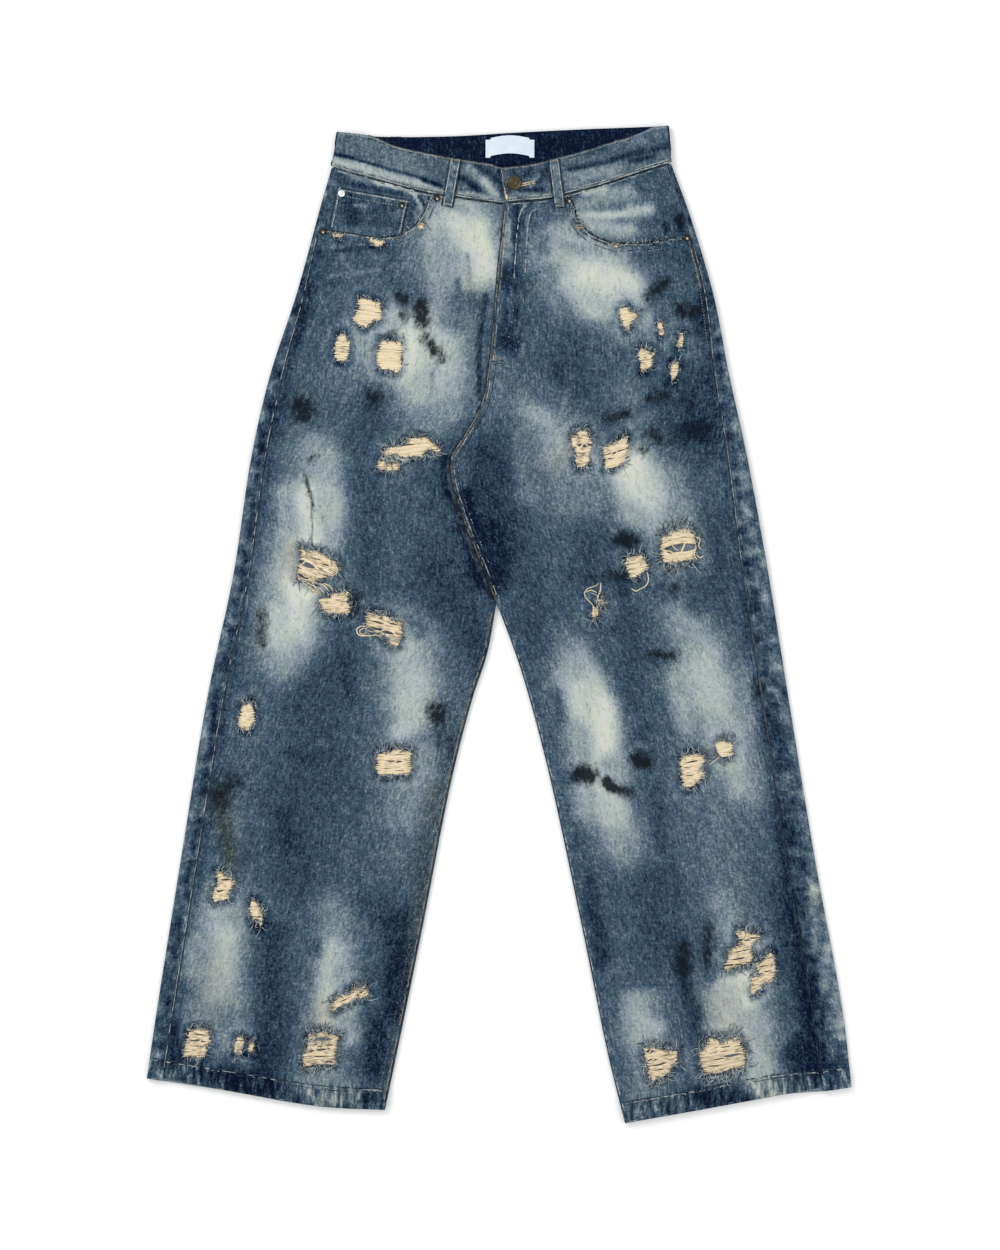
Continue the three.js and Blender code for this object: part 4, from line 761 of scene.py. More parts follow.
def washed_denim(name, washed=1.0):
    """Cotton twill, indigo warp over pale weft, stone-washed and bleached by hand.

    The eye gets a salt-and-pepper grain that is strongest where the dye is left, streaks along
    the warp, bleached clouds, roped hems, puckered seams and sooty smudges. The tone it is given
    also carries painted shade in creases, folds and round rips. washed is how far the
    bleach reached this face: none of it got to the inside of the waistband.
    """
    material, tree = new_material(name)
    grain = node(tree, "UVMap", {"uv_map": "grain"}).outputs["UV"]
    fade, stain, scorch, hem, pucker = (
        node(tree, "Attribute", {"attribute_name": key}).outputs["Fac"]
        for key in ("fade", "stain", "scorch", "hem", "pucker")
    )

    def speckle(width, length, detail, tilt=0.0):
        """Noise about zero whose grain is that wide across the leg and that long along it, in mm."""
        turned = node(tree, "Mapping", Vector=grain, Rotation=(0, 0, tilt),
                      Scale=(1000 / width, 1000 / length, 1)).outputs[0]
        made = node(tree, "TexNoise", {"noise_dimensions": "2D"}, Vector=turned, Scale=1.0,
                    Detail=detail, Roughness=0.6).outputs[0]
        return node(tree, "Math", {"operation": "SUBTRACT"}, _0=made, _1=0.5).outputs[0]

    # the yarns are 0.5 mm apart, too fine to show, so the salt and pepper is drawn at 3 mm
    salt = speckle(2.5, 2.9, 3.0)
    streaks = speckle(2.2, 13, 2.0)
    crinkle = speckle(5.5, 7.5, 1.0, math.radians(20))
    mottle = speckle(15, 22, 3.0)
    # bleach leaves little dye to vary, so the grain weakens as the tone rises
    left_dye = node(tree, "Math", {"operation": "MULTIPLY_ADD"}, _0=fade, _1=-1.1 * washed,
                    _2=1.24).outputs[0]
    texture = sums(tree, (salt, 0.82), (streaks, 0.42), (crinkle, 0.34), (mottle, 0.3))
    texture = node(tree, "Math", {"operation": "MULTIPLY"}, _0=texture, _1=left_dye)
    roping = speckle(6.5, 24, 2.0, math.radians(24))
    puckers = speckle(16, 9, 2.0)
    roped = node(tree, "Math", {"operation": "MULTIPLY"}, _0=roping, _1=hem).outputs[0]
    puckered = node(tree, "Math", {"operation": "MULTIPLY"}, _0=puckers, _1=pucker)
    puckered = puckered.outputs[0]
    # roping and puckers also shift the tone: their high spots paler with wear, their hollows darker as
    # painted shade
    tone = sums(tree, (fade, washed), (texture.outputs[0], 1.0), (roped, 1.25), (puckered, 0.7))
    dyed = ramp(tree, tone, INDIGO_STEPS)
    # the wash leaves some places greener and some more violet
    cast = node(tree, "Math", {"operation": "ADD"}, _0=speckle(24, 34, 3.0), _1=0.5)
    cast = ramp(tree, cast.outputs[0], [(0.34, "#fafcf5"), (0.66, "#f7f6fd")])
    dyed = node(tree, "Mix", {"data_type": "RGBA", "blend_type": "MULTIPLY"},
                _0=1.0, _6=dyed, _7=cast).outputs[2]
    browned = node(tree, "Mix", {"data_type": "RGBA", "blend_type": "MULTIPLY"},
                   _0=scorch, _6=dyed, _7=linear("#d9b98f")).outputs[2]
    # soot catches on the raised yarns first, so its edge breaks into short dabs
    soot_edge = sums(tree, (stain, 1.0), (speckle(5, 9, 3.0), 1.5), (speckle(2.2, 2.8, 3.0), 0.8))
    soot = ramp(tree, soot_edge, [(0.12, 0.0), (1.05, 0.96)])
    sooty = node(tree, "Mix", {"data_type": "RGBA"}, _0=soot, _6=browned,
                 _7=linear("#12171c")).outputs[2]
    # twill lines run up to the right, 0.9 mm apart in life, drawn 2.4 mm apart
    twill = node(tree, "Mapping", Vector=grain, Rotation=(0, 0, math.radians(63))).outputs[0]
    lines = node(tree, "TexWave", {"wave_type": "BANDS", "bands_direction": "X"},
                 Vector=twill, Scale=130.0, Distortion=1.5, Detail=1.0, Detail_Scale=2.0).outputs[1]
    relief = sums(tree, (lines, 0.12), (salt, 1.0), (roped, 2.0), (puckered, 2.0))
    return finish(material, relief, 0.5, 0.0008, Base_Color=sooty, Roughness=0.95, Specular_IOR_Level=0.06)


def weft_side(name, low, high):
    """The wrong side of the twill, mostly undyed weft, so pale and grey-blue with a fine fleck."""
    material, tree = new_material(name)
    place = node(tree, "TexCoord").outputs["Object"]
    fleck = node(tree, "TexNoise", Vector=place, Scale=420.0, Detail=2.0, Roughness=0.6)
    broad = node(tree, "TexNoise", Vector=place, Scale=38.0, Detail=2.0)
    value = sums(tree, (fleck.outputs[0], 0.75), (broad.outputs[0], 0.35))
    colour = ramp(tree, value, [(0.35, low), (0.75, high)])
    return finish(material, fleck.outputs[0], 0.4, 0.0005, Base_Color=colour, Roughness=0.95,
                  Specular_IOR_Level=0.2)


def cotton_yarn(name, dark, light):
    """Spun cotton with a slight twist: matte, each yarn a little lighter or darker than the next."""
    material, tree = new_material(name)
    place = node(tree, "TexCoord").outputs["Object"]
    tint = node(tree, "Attribute", {"attribute_name": "tint"}).outputs["Fac"]
    fibre = node(tree, "TexNoise", Vector=place, Scale=600.0, Detail=1.0)
    value = sums(tree, (tint, 1.0), (fibre.outputs[0], 0.3))
    colour = ramp(tree, value, [(0.12, dark), (0.9, light)])
    return finish(material, Base_Color=colour, Roughness=0.9, Specular_IOR_Level=0.25)


def worn_metal(name, bright, dull, roughness, rubbed=None):
    """Stamped and plated metal, tumbled with the jeans: bright on the high spots, dull elsewhere. A given
    top colour marks the crown, worn bright and painted as its highlight.
    """
    material, tree = new_material(name)
    place = node(tree, "TexCoord").outputs["Object"]
    patina = node(tree, "TexNoise", Vector=place, Scale=700.0, Detail=4.0, Roughness=0.7)
    colour = ramp(tree, patina.outputs[0], [(0.35, dull), (0.62, bright)])
    dulled = ramp(tree, patina.outputs[0], [(0.3, min(roughness + 0.25, 1.0)), (0.65, roughness)])
    if rubbed:
        # the crown worn bright, and a painted highlight on it
        crown = node(tree, "Attribute", {"attribute_name": "rub"}).outputs["Fac"]
        colour = node(tree, "Mix", {"data_type": "RGBA"}, _0=crown, _6=colour, _7=linear(rubbed))
        colour = colour.outputs[2]
    return finish(material, patina.outputs[0], 0.3, 0.0002, Base_Color=colour, Metallic=1.0,
                  Roughness=dulled)


def woven_satin(name):
    """Polyester satin ribbon for a label: near white with a faint blue cast and a fine cross rib."""
    material, tree = new_material(name)
    place = node(tree, "TexCoord").outputs["Object"]
    # the rib is 0.3 mm in life, drawn at 0.9 mm
    rib = node(tree, "TexWave", {"wave_type": "BANDS", "bands_direction": "Y"},
               Vector=place, Scale=350.0, Distortion=0.4).outputs[1]
    soft = node(tree, "TexNoise", Vector=place, Scale=60.0, Detail=2.0).outputs[0]
    colour = ramp(tree, sums(tree, (rib, 0.35), (soft, 0.65)), [(0.2, "#c3d0dc"), (0.8, "#dfe9f0")])
    return finish(material, rib, 0.25, 0.0002, Base_Color=colour, Roughness=0.42, Sheen_Weight=0.2)


def matt_paper(name, colour):
    """Seamless backdrop paper: pale, even and dull."""
    material, tree = new_material(name)
    place = node(tree, "TexCoord").outputs["Object"]
    tooth = node(tree, "TexNoise", Vector=place, Scale=80.0, Detail=2.0)
    return finish(material, tooth.outputs[0], 0.05, 0.0005, Base_Color=linear(colour), Roughness=0.95,
                  Specular_IOR_Level=0.1)


DENIM = washed_denim("washed_denim_twill")
BAND_INSIDE = washed_denim("unwashed_denim_twill", 0.0)
INSIDE = weft_side("denim_weft_side", "#59677a", "#98a0ac")
CREAM_YARN = cotton_yarn("undyed_weft_yarn", "#54473a", "#e4d4b3")
INDIGO_YARN = cotton_yarn("indigo_warp_yarn", "#1c2a3b", "#b9c3c4")
TAN_THREAD = cotton_yarn("tan_topstitch_thread", "#3c3b38", "#958a76")
PALE_THREAD = cotton_yarn("washed_topstitch_thread", "#56636e", "#a9b0b0")
# the dark strands beside seams: folded indigo edges, and painted shadow
EDGE_AND_SHADE_YARN = cotton_yarn("folded_edge_and_painted_shade", "#0e1722", "#3a4a5a")
RIDGE_YARN = cotton_yarn("abraded_seam_ridge", "#55646f", "#b3b7b2")
BRASS = worn_metal("tumbled_aged_brass", "#635d4a", "#2d2a22", 0.4)
DARK_RIVET = worn_metal("tumbled_dark_rivet_plate", "#48423a", "#14110e", 0.28, "#d9d6cf")
BRIGHT_RIVET = worn_metal("rubbed_bright_rivet_plate", "#fcfcfa", "#e2e0db", 0.3)
SATIN = woven_satin("woven_label_satin")

# ---- the fronts ----


def fades_on(points, base, strokes):
    """The tone of each point after every stroke, of bleach and of painted shade, with cloudy edges."""
    drift = np.stack([clouds(points, 34, 1.5), clouds(points, 34, 7.5)], axis=1) * 7
    moved = points + drift
    tone = np.full(len(points), float(base))
    for x0, y0, x1, y1, width, value in strokes:
        away = stretch_distance(moved if width > 8 else points, (x0, y0), (x1, y1)) / width
        tone += (value - tone) * np.exp(-0.72 * away**2.4)
    return tone + TONE_SHIFT


def marks_on(points, marks, sharpness=2.2):
    total = np.zeros(len(points))
    for x0, y0, x1, y1, width, value in marks:
        away = stretch_distance(points, (x0, y0), (x1, y1)) / width
        total = np.maximum(total, value * np.exp(-0.8 * away**sharpness))
    return total


def tear(mesh, rips):
    """Cuts each rip out of a panel: vertices near its outline go to it, then its inside goes."""
    at = places(mesh)[:, :2] / MM
    z = places(mesh)[:, 2:] / MM
    for each in rips:
        outline = np.array(each["outline"]) + each["centre"]
        near = np.flatnonzero(np.abs(at - each["centre"]).max(axis=1) < RIP_REACH)
        ring = even(closed(outline), 160)
        apart = np.linalg.norm(at[near, None] - ring[None], axis=2)
        close = apart.min(axis=1) < GRID * 0.55
        at[near[close]] = ring[apart.argmin(axis=1)[close]]
    put(mesh, np.hstack([at, z]))
    bm = bmesh.new()
    bm.from_mesh(mesh)
    middles = np.array([f.calc_center_median()[:2] for f in bm.faces]) / MM
    gone = np.zeros(len(middles), bool)
    for each in rips:
        gone |= inside_of(middles, np.array(each["outline"]) + each["centre"])
    bm.faces.ensure_lookup_table()
    bmesh.ops.delete(bm, geom=[bm.faces[i] for i in np.flatnonzero(gone)], context="FACES")
    bm.to_mesh(mesh)
    bm.free()


def front_panel(name, leg, fades, rips):
    sign = leg["sign"]
    seam = outseam_of(leg, SEAM_GAP)
    seam = seam[np.linspace(0, 1, len(seam)) > MOUTH_SHARE]
    middle = np.vstack([flowing(FLY, 200), flowing(leg["inner"], 200)[1:]])
    middle[:, 0] += sign * (SEAM_GAP / 2 + 0.05)
    mouth = flowing([tuple(seam[0]), *leg["mouth"][1:]], 80)
    corner = leg["mouth"][-1]
    waist = [p for p in flowing(leg["band_seam"], 120) - (0, SEAM_GAP)
             if abs(middle[0, 0]) < abs(p[0]) < abs(corner[0]) - 1 and p[0] * sign > 0]
    top = even(np.vstack([mouth, waist, middle[:1]]), 300)
    hem_inside = [p for p in leg["hem"][1:-1] if abs(p[0]) < abs(seam[-1, 0]) - 1]
    bottom = flowing([tuple(seam[-1]), *hem_inside, tuple(middle[-1])], 300)
    inner = np.vstack([even(middle[:200], 150), even(middle[199:], 151)[1:]])
    mesh, u, v = grid_mesh(name, round(FRONT_WIDTH / GRID), round(FRONT_LENGTH / GRID))
    flat = coons(top, bottom, even(seam, 300), inner, u, v)
    put(mesh, np.column_stack([flat, np.zeros(len(flat))]))
    tear(mesh, rips)
    flat = places(mesh)[:, :2] / MM
    from_hem = line_distance(flat, bottom[::10])
    from_seam = line_distance(flat, seam[::8])
    from_middle = line_distance(flat, middle[::8])
    from_mouth = line_distance(flat, mouth[::6])
    from_edge = np.minimum(from_seam, from_middle)
    x, y = flat.T
    # thread that shrank has drawn the cloth into ripples, which slant at the hem
    ripple = 0.2 * np.sin(y / 2.6 + 3 * clouds(flat, 25, 3)) * bell(from_seam, 8)
    ripple += 0.2 * np.sin(y / 2.9 + 3 * clouds(flat, 22, 5)) * bell(from_middle, 6)
    ripple += 0.35 * np.sin((x + y * 0.6) / 2.6 + 4 * clouds(flat, 30, 8)) * (from_hem < HEM_DEPTH)
    z = front_height(leg, flat) + ripple + -0.9 * bell(from_edge, 1.6)
    tone = fades_on(flat, BASE_TONE, fades) + 0.10 * bell(from_mouth, 2.5) - 0.10 * bell(from_seam - 5, 5)
    for each in rips:
        # torn warp and painted shade darken the cloth above and below a rip, and a pale rim lies round
        # that
        away = flat - each["centre"]
        out = line_distance(flat, closed(each["outline"]) + each["centre"])
        above = np.clip(np.abs(away[:, 1]) / (np.linalg.norm(away, axis=1) + 1), 0, 1) ** 2.2
        near = np.linalg.norm(away, axis=1) < RIP_REACH + 5
        patchy = (0.45 + 0.4 * min(each["hair"], 1.3)) * (1 + 1.8 * clouds(flat, 6, 11))
        tone += near * (0.07 * bell(out - 11, 5) - 0.5 * above * patchy * bell(out, 6.2))
    hem = 1 - ease((from_hem - HEM_DEPTH + 2) / 4)
    put(mesh, np.column_stack([flat, z]))
    paint(mesh, fade=tone - 0.05 * hem, stain=marks_on(flat, STAINS), hem=hem,
          scorch=np.maximum(marks_on(flat, SCORCHES), 0.18 * hem), pucker=0.5 * bell(from_edge, 7))
    face_out(mesh, (0, 0, 1))
    outer = even(seam, 60)[::-1]
    centre = (outer[:, 0] + even(middle, 60)[::-1, 0]) / 2
    grain_map(mesh, lambda y: np.interp(y, outer[:, 1], centre))
    made = add_piece(name + "_cloth", mesh, [DENIM, INSIDE], "faded_denim", name)
    thicken(made, HEM_CLOTH - 0.2, hem)
    return made


# ---- the backs and the yokes: on the ground, round the side, and on top to the outseam ----


def wrapped_panel(name, edges, middles, seam_in, cloth, fades, slot_name, base, hem_line=None):
    """edges and middles are the row ends. The columns run from the middle round to the outseam."""
    rows = len(edges) - 1
    inward = middles - edges
    inward /= np.linalg.norm(inward, axis=1, keepdims=True)
    ground, turned, topped = round(np.abs(middles - edges)[:, 0].max() / BACK_GRID), 8, 8
    columns = ground + turned + topped
    mesh, u, v = grid_mesh(name, columns, rows)
    row = np.rint(v * rows).astype(int)
    column = np.rint(u * columns).astype(int)
    edge, middle, inwards = edges[row], middles[row], inward[row]
    radius = (2 * cloth[row] + GAP) / 2
    floor = lift_at(edge[:, 1])
    t = np.clip(column / ground, 0, 1)[:, None]
    on_ground = middle + (edge + inwards * radius[:, None] - middle) * t
    angle = np.clip((column - ground) / turned, 0, 1) * math.pi
    on_turn = edge + inwards * (radius - radius * np.sin(angle))[:, None]
    s = np.clip((column - ground - turned) / topped, 0, 1)
    on_top = edge + inwards * (radius + (seam_in[row] - radius) * s)[:, None]
    flat = np.where((column <= ground)[:, None], on_ground,
                    np.where((column <= ground + turned)[:, None], on_turn, on_top))
    if hem_line is not None:
        straight = np.interp(flat[:, 0], *np.array(sorted([tuple(edges[-1]), tuple(middles[-1])])).T)
        curved = np.interp(flat[:, 0], *np.array(sorted(map(tuple, hem_line))).T)
        flat[:, 1] += (curved - straight) * ease((row / rows - 0.8) / 0.2)
    z = np.where(column <= ground, lift_at(on_ground[:, 1]), floor + radius - radius * np.cos(angle))
    upper = column > ground + turned / 2
    ripple = 0.25 * np.sin(flat[:, 1] / 5 + 2 * clouds(flat, 20, 4))
    z = z + np.where(column > ground + turned, ripple * s, 0)
    z = z - np.where(column == columns, 0.7, 0)
    tone = np.where(upper, fades_on(flat, base, fades), fades_on(flat, base, BACK_FADES))
    put(mesh, np.column_stack([flat, z]))
    hem = ease((cloth[row] - CLOTH) / (HEM_CLOTH - CLOTH))
    tone += (0.30 - tone) * hem * 0.4 + upper * (0.34 * clouds(flat, 11, 6) + 0.05)
    paint(mesh, fade=tone, stain=marks_on(flat, STAINS) * upper, hem=hem,
          scorch=marks_on(flat, SCORCHES) * upper, pucker=np.where(upper, 0.3 + 0.4 * s, 0.15))
    face_out(mesh, (0, 0, -1))
    line = middles[:, 0] / 2 + edges[:, 0] / 2
    grain_map(mesh, lambda y: np.interp(y, edges[::-1, 1], line[::-1]))
    made = add_piece(name + "_cloth", mesh, [DENIM, INSIDE], slot_name, name)
    thicken(made, HEM_CLOTH - 0.2, hem)
    return made


def back_panel(name, leg, fades):
    side, share, inset = front_edges(leg)
    rows = round(BACK_LENGTH / BACK_GRID)
    at = np.linspace(0, 1, rows + 1)

    def part_way(line, t):
        return np.stack([np.interp(t, np.linspace(0, 1, len(line)), c) for c in line.T], axis=1)

    middles = np.where((at < CROTCH_SHARE)[:, None],
                       part_way(flowing(BACK_SEAM, 200), at / CROTCH_SHARE),
                       part_way(flowing(leg["inner"], 200), (at - CROTCH_SHARE) / (1 - CROTCH_SHARE)))
    middles[:, 0] += leg["sign"] * SEAM_GAP / 2
    hem = ease((at * BACK_LENGTH - (BACK_LENGTH - HEM_DEPTH)) / 3)
    cloth = CLOTH + (HEM_CLOTH - CLOTH) * hem
    return wrapped_panel(name, even(side, rows + 1), middles, np.interp(at, share, inset), cloth, fades,
                         "dark_denim", 0.45, flowing(leg["hem"], 60))


def yoke(name, leg):
    side = np.array(leg["side"][:2], float)
    top = side[0] - (0, 2.2)
    low = side[0] + YOKE_END * (side[1] - side[0]) + (0, SEAM_GAP)
    rows = 9
    edges = even([top, low], rows + 1)
    half = leg["sign"] * SEAM_GAP / 2
    middles = even([(half, 520 - SEAM_GAP), (half, 436 + SEAM_GAP)], rows + 1)
    inset = np.full(rows + 1, float(leg["seam_in"][0][1]))
    return wrapped_panel(name, edges, middles, inset, np.full(rows + 1, CLOTH), [], "dark_denim", 0.4)


# ---- the waistband ----

BAND_LAYERS = 2 * BAND_CLOTH + GAP
BAND_TOP = LIFT + BAND_LAYERS
LAP_RISE = BAND_CLOTH + GAP


def band_top_at(x):
    return BAND_TOP + LAP_RISE * (1 - ease((x - UNDERLAP - 6) / RAMP))


def waistband():
    """One strip round the waist: the button end, the right front, the back, then the left front."""
    radius = BAND_LAYERS / 2 - BAND_CLOTH / 2
    centre = LIFT + BAND_LAYERS / 2

    def front(tops, seams, height):
        z = np.broadcast_to(height - BAND_CLOTH / 2, len(tops))
        return np.column_stack([tops, z]), np.column_stack([seams, z])

    def turn(top, seam, inwards, start, stop):
        angle = np.linspace(start, stop, 9)
        along = inwards * (BAND_LAYERS / 2 - radius * np.cos(angle))
        z = centre + radius * np.sin(angle)
        return (np.column_stack([top[0] + along, 0 * along + top[1], z]),
                np.column_stack([seam[0] + along, 0 * along + seam[1], z]))

    left_top = flowing(LEFT["band_top"], 130)
    spans = [
        front(even([(44, 524), (5, 520.4)], 22), even([(44, 486), (7, 480.6)], 22), BAND_TOP),
        front(flowing(RIGHT["band_top"], 120)[::-1], flowing(RIGHT["band_seam"], 120)[::-1], BAND_TOP),
        turn(RIGHT["band_top"][0], RIGHT["band_seam"][0], 1, math.pi / 2, -math.pi / 2),
        front(flowing(BACK_TOP, 90)[2:-2], even(BACK_BAND_SEAM, 90)[2:-2], LIFT + BAND_CLOTH),
        turn(LEFT["band_top"][0], LEFT["band_seam"][0], -1, -math.pi / 2, math.pi / 2),
        front(left_top, flowing(LEFT["band_seam"], 130), band_top_at(left_top[:, 0])),
    ]
    tops = np.vstack([span[0] for span in spans])
    seams = np.vstack([span[1] for span in spans])
    stations, rows = len(tops), 40
    mesh, u, v = grid_mesh("waistband", stations - 1, rows)
    at = np.rint(u * (stations - 1)).astype(int)
    place = tops[at] + (seams[at] - tops[at]) * v[:, None]
    flat = place[:, :2]
    outer = place[:, 2] > centre + 0.5
    place[:, 2] += np.where(outer, ridges_at(flat, BAND_CREASES) + 0.3 * clouds(flat, 18, 9), 0)
    tone = np.where(outer, fades_on(flat, 0.50, BAND_FADE_AND_SHADE), 0.43 + 0.3 * clouds(flat, 22, 5))
    put(mesh, place)
    tone += np.where(outer & (v > 0.93), 0.06, 0) + np.where(outer & (v < 0.07), 0.1, 0)
    paint(mesh, fade=tone, stain=0.0, scorch=np.where(outer, 0.08, 0), hem=0.0,
          pucker=np.where(outer, 0.25 + 0.4 * (np.abs(v - 0.5) > 0.42), 0.1))
    # the strip turns round the waist, so only its front faces look up
    face_out(mesh, (0, 0, 1), centre + 1)
    grain_map(mesh, lambda y: 0 * y)
    made = add_piece("waistband_cloth", mesh, [DENIM, BAND_INSIDE], "faded_denim", "waistband")
    thicken(made, BAND_CLOTH)
    made.modifiers["cloth"].offset = 0
    made.modifiers["cloth"].thickness_vertex_group = 1
    soft_edge = made.modifiers.new("folded edges", "BEVEL")
    soft_edge.width = 0.7 * MM
    soft_edge.segments = 2
    soft_edge.angle_limit = math.radians(50)
    return made


BAND_CREASES = [
    (-190, 537, -136, 523, -0.7, 4), (-136, 523, -104, 515, -0.8, 4), (-104, 515, -68, 500, -0.8, 4),
    (-33, 520, -4, 490, 0.9, 5), (-46, 512, -20, 494, -0.8, 5), (75, 518, 103, 522, -0.7, 4),
    (103, 522, 143, 532, -0.7, 4), (143, 532, 192, 543, -0.7, 4), (30, 512, 60, 518, -0.4, 5),
]


# ---- flat pieces: facings, coin pocket, back pockets, loops ----


def flat_piece(name, borders, height, fades, base, slot_name, step=2.6, facing=1):
    """A flat sheet inside four borders, with its upper (or, facing -1, lower) side at a height."""
    top, bottom, left, right = (np.array(b, float) for b in borders)
    width = np.linalg.norm(np.diff(top, axis=0), axis=1).sum()
    length = np.linalg.norm(np.diff(left, axis=0), axis=1).sum()
    mesh, u, v = grid_mesh(name, max(2, round(width / step)), max(2, round(length / step)))
    flat = coons(top, bottom, left, right, u, v)
    edge = np.minimum(np.minimum(u, 1 - u) * width, np.minimum(v, 1 - v) * length)
    z = height(flat) if callable(height) else np.full(len(flat), float(height))
    z = z + facing * (0.25 * clouds(flat, 15, 2) - 0.35 * bell(edge, 1.8))
    put(mesh, np.column_stack([flat, z]))
    paint(mesh, fade=fades_on(flat, base, fades) + 0.12 * bell(edge, 2), scorch=0.0, hem=0.0,
          stain=marks_on(flat, STAINS) * (facing > 0), pucker=0.35 * bell(edge, 5))
    face_out(mesh, (0, 0, facing))
    grain_map(mesh, lambda y: 0 * y)
    made = add_piece(name + "_cloth", mesh, [DENIM, INSIDE], slot_name, name)
    thicken(made, SHELL)
    return made


FACING_UNDERLAP = 12
FACING_TOP = LIFT + 2 * CLOTH + GAP
COIN_TOP_Z = FACING_TOP + GAP + CLOTH
COIN_TOP = [(-184, 497), (-104, 482.5)]
COIN_BOTTOM = [(-193, 448.6), (-165, 444.8), (-147, 442.2), (-131, 441.4), (-112, 444)]


def facing_piece(name, leg):
    sign = leg["sign"]
    mouth = np.array(leg["mouth"], float)
    corner = mouth[-1]
    band_end = [p for p in leg["band_seam"] if abs(p[0]) > abs(corner[0]) + 1]
    start = (leg["side"][0][0] - sign * (leg["seam_in"][0][1] + 1), leg["side"][0][1] - 3.2)
    top = [start, *[(x, y - 0.7) for x, y in band_end[1:]],
           (corner[0] - sign * FACING_UNDERLAP, corner[1] - 3)]
    along = np.gradient(mouth, axis=0)
    along /= np.linalg.norm(along, axis=1, keepdims=True)
    under = mouth - FACING_UNDERLAP * np.stack([along[:, 1] * sign, -along[:, 0] * sign], axis=1)
    outseam = [p for p in outseam_of(leg, SEAM_GAP) if mouth[0, 1] - FACING_UNDERLAP + 1 < p[1] < 508]
    bottom = [tuple(outseam[-1]), *under[1:-1], (top[-1][0] + sign * 2, corner[1] - 16)]
    borders = (flowing(top, 60), flowing(bottom, 60), even([top[0], *outseam], 20),
               even([top[-1], bottom[-1]], 20))
    return flat_piece(name, borders, FACING_TOP, FACING_FADE_AND_SHADE, 0.46, "faded_denim")


def coin_pocket():
    borders = (flowing(COIN_TOP, 40), flowing(COIN_BOTTOM, 40), even([COIN_TOP[0], COIN_BOTTOM[0]], 20),
               even([COIN_TOP[1], COIN_BOTTOM[-1]], 20))
    return flat_piece("coin_pocket", borders, COIN_TOP_Z, COIN_FADES, 0.40, "dark_denim", 2.2)


BACK_POCKET = {"half": 76, "depth": 165, "point": 28, "top": 424, "x": 104}


def back_pocket_outline(sign):
    half, depth, point = BACK_POCKET["half"], BACK_POCKET["depth"], BACK_POCKET["point"]
    low = half * 0.94
    corners = [(-half, 0), (-low, point - depth), (0, -depth), (low, point - depth), (half, 0)]
    return [(x + sign * BACK_POCKET["x"], y + BACK_POCKET["top"]) for x, y in corners]


def back_pocket(name, sign):
    a, b, c, d, e = back_pocket_outline(sign)
    borders = (even([a, e], 30), even([b, c, d], 30), even([a, b], 30), even([e, d], 30))
    return flat_piece(name, borders, 0.0, BACK_FADES, 0.42, "dark_denim", 5, facing=-1)


LOOP_WIDTH = 12
LOOP_LENGTH = 54
FRONT_AT_BAND = LIFT + CLOTH + GAP + POCKET_RISE + CLOTH


def loop_frame(top, bottom):
    top, bottom = np.array(top, float), np.array(bottom, float)
    down = (bottom - top) / np.linalg.norm(bottom - top)
    return top, bottom, down, np.array([-down[1], down[0]])


def belt_loop(name, top, bottom, high, low, facing=1):
    """A narrow folded strip, tacked down at both ends and a little proud between them."""
    top, bottom, down, sideways = loop_frame(top, bottom)
    half = LOOP_WIDTH / 2
    left = even([top - sideways * half, bottom - sideways * half], 30)
    right = even([top + sideways * half, bottom + sideways * half], 30)
    length = np.linalg.norm(bottom - top)

    def height(flat):
        along = (flat - top) @ down / length
        across = np.abs((flat - top) @ sideways) / half
        z = high + (low - high) * ease((along - 0.8) / 0.2)
        tack = bell(along - 0.05, 0.04) + bell(along - 0.94, 0.04)
        return z + facing * (-0.5 * tack - 0.5 * np.clip(across, 0, 1) ** 6 + 0.2)

    borders = (even([left[0], right[0]], 10), even([left[-1], right[-1]], 10), left, right)
    made = flat_piece(name, borders, height, [], 0.52, "faded_denim", 1.5, facing)
    at = places(made.data)[:, :2] / MM
    across = np.abs((at - top) @ sideways) / half
    # worn pale beside its edges, and painted shade on the edges, where the strip turns under
    tone = 0.55 + 0.18 * bell(across - 0.75, 0.16) - 0.34 * (across > 0.93) + 0.25 * clouds(at, 6, 3)
    made.data.attributes["fade"].data.foreach_set("value", (tone + TONE_SHIFT).astype(np.float32))
    return made


def outseam_pucker_shade(leg, tone):
    """Painted shade: dark dabs between pale puckers just outside an outseam, where its thread has shrunk.
    """
    line = even(outseam_of(leg, -DAB_OUT), round(BACK_LENGTH / DAB_PITCH))
    return [(x, y - 3, x, y + 3, 3.4 + 1.1 * math.sin(3.0 * i), tone)
            for i, (x, y) in enumerate(line) if y > DAB_END]


front_right = front_panel("front_right", RIGHT, RIGHT_FADE_AND_SHADE, RIGHT_RIPS)
front_left = front_panel("front_left", LEFT, LEFT_FADE_AND_SHADE, LEFT_RIPS)
back_right = back_panel("back_right", RIGHT, RIGHT_FADE_AND_SHADE + outseam_pucker_shade(RIGHT, 0.18))
back_left = back_panel("back_left", LEFT, LEFT_FADE_AND_SHADE + outseam_pucker_shade(LEFT, 0.24))
yoke_right = yoke("yoke_right", RIGHT)
yoke_left = yoke("yoke_left", LEFT)
band = waistband()
facing_right = facing_piece("pocket_facing_right", RIGHT)
facing_left = facing_piece("pocket_facing_left", LEFT)
coin = coin_pocket()
pocket_right = back_pocket("back_pocket_right", -1)
pocket_left = back_pocket("back_pocket_left", 1)
LOOPS = {
    "belt_loop_front_right": ((-49.5, 530), (-59, 476), max(BAND_TOP, FRONT_AT_BAND)),
    "belt_loop_front_left": ((62, 529), (69, 475), band_top_at(54)),
    "belt_loop_side_right": ((-118, 556), (-118, 502), None),
    "belt_loop_centre": ((13, 560), (13, 506), None),
    "belt_loop_side_left": ((128, 564.5), (128, 510.5), None),
}
loops = {}
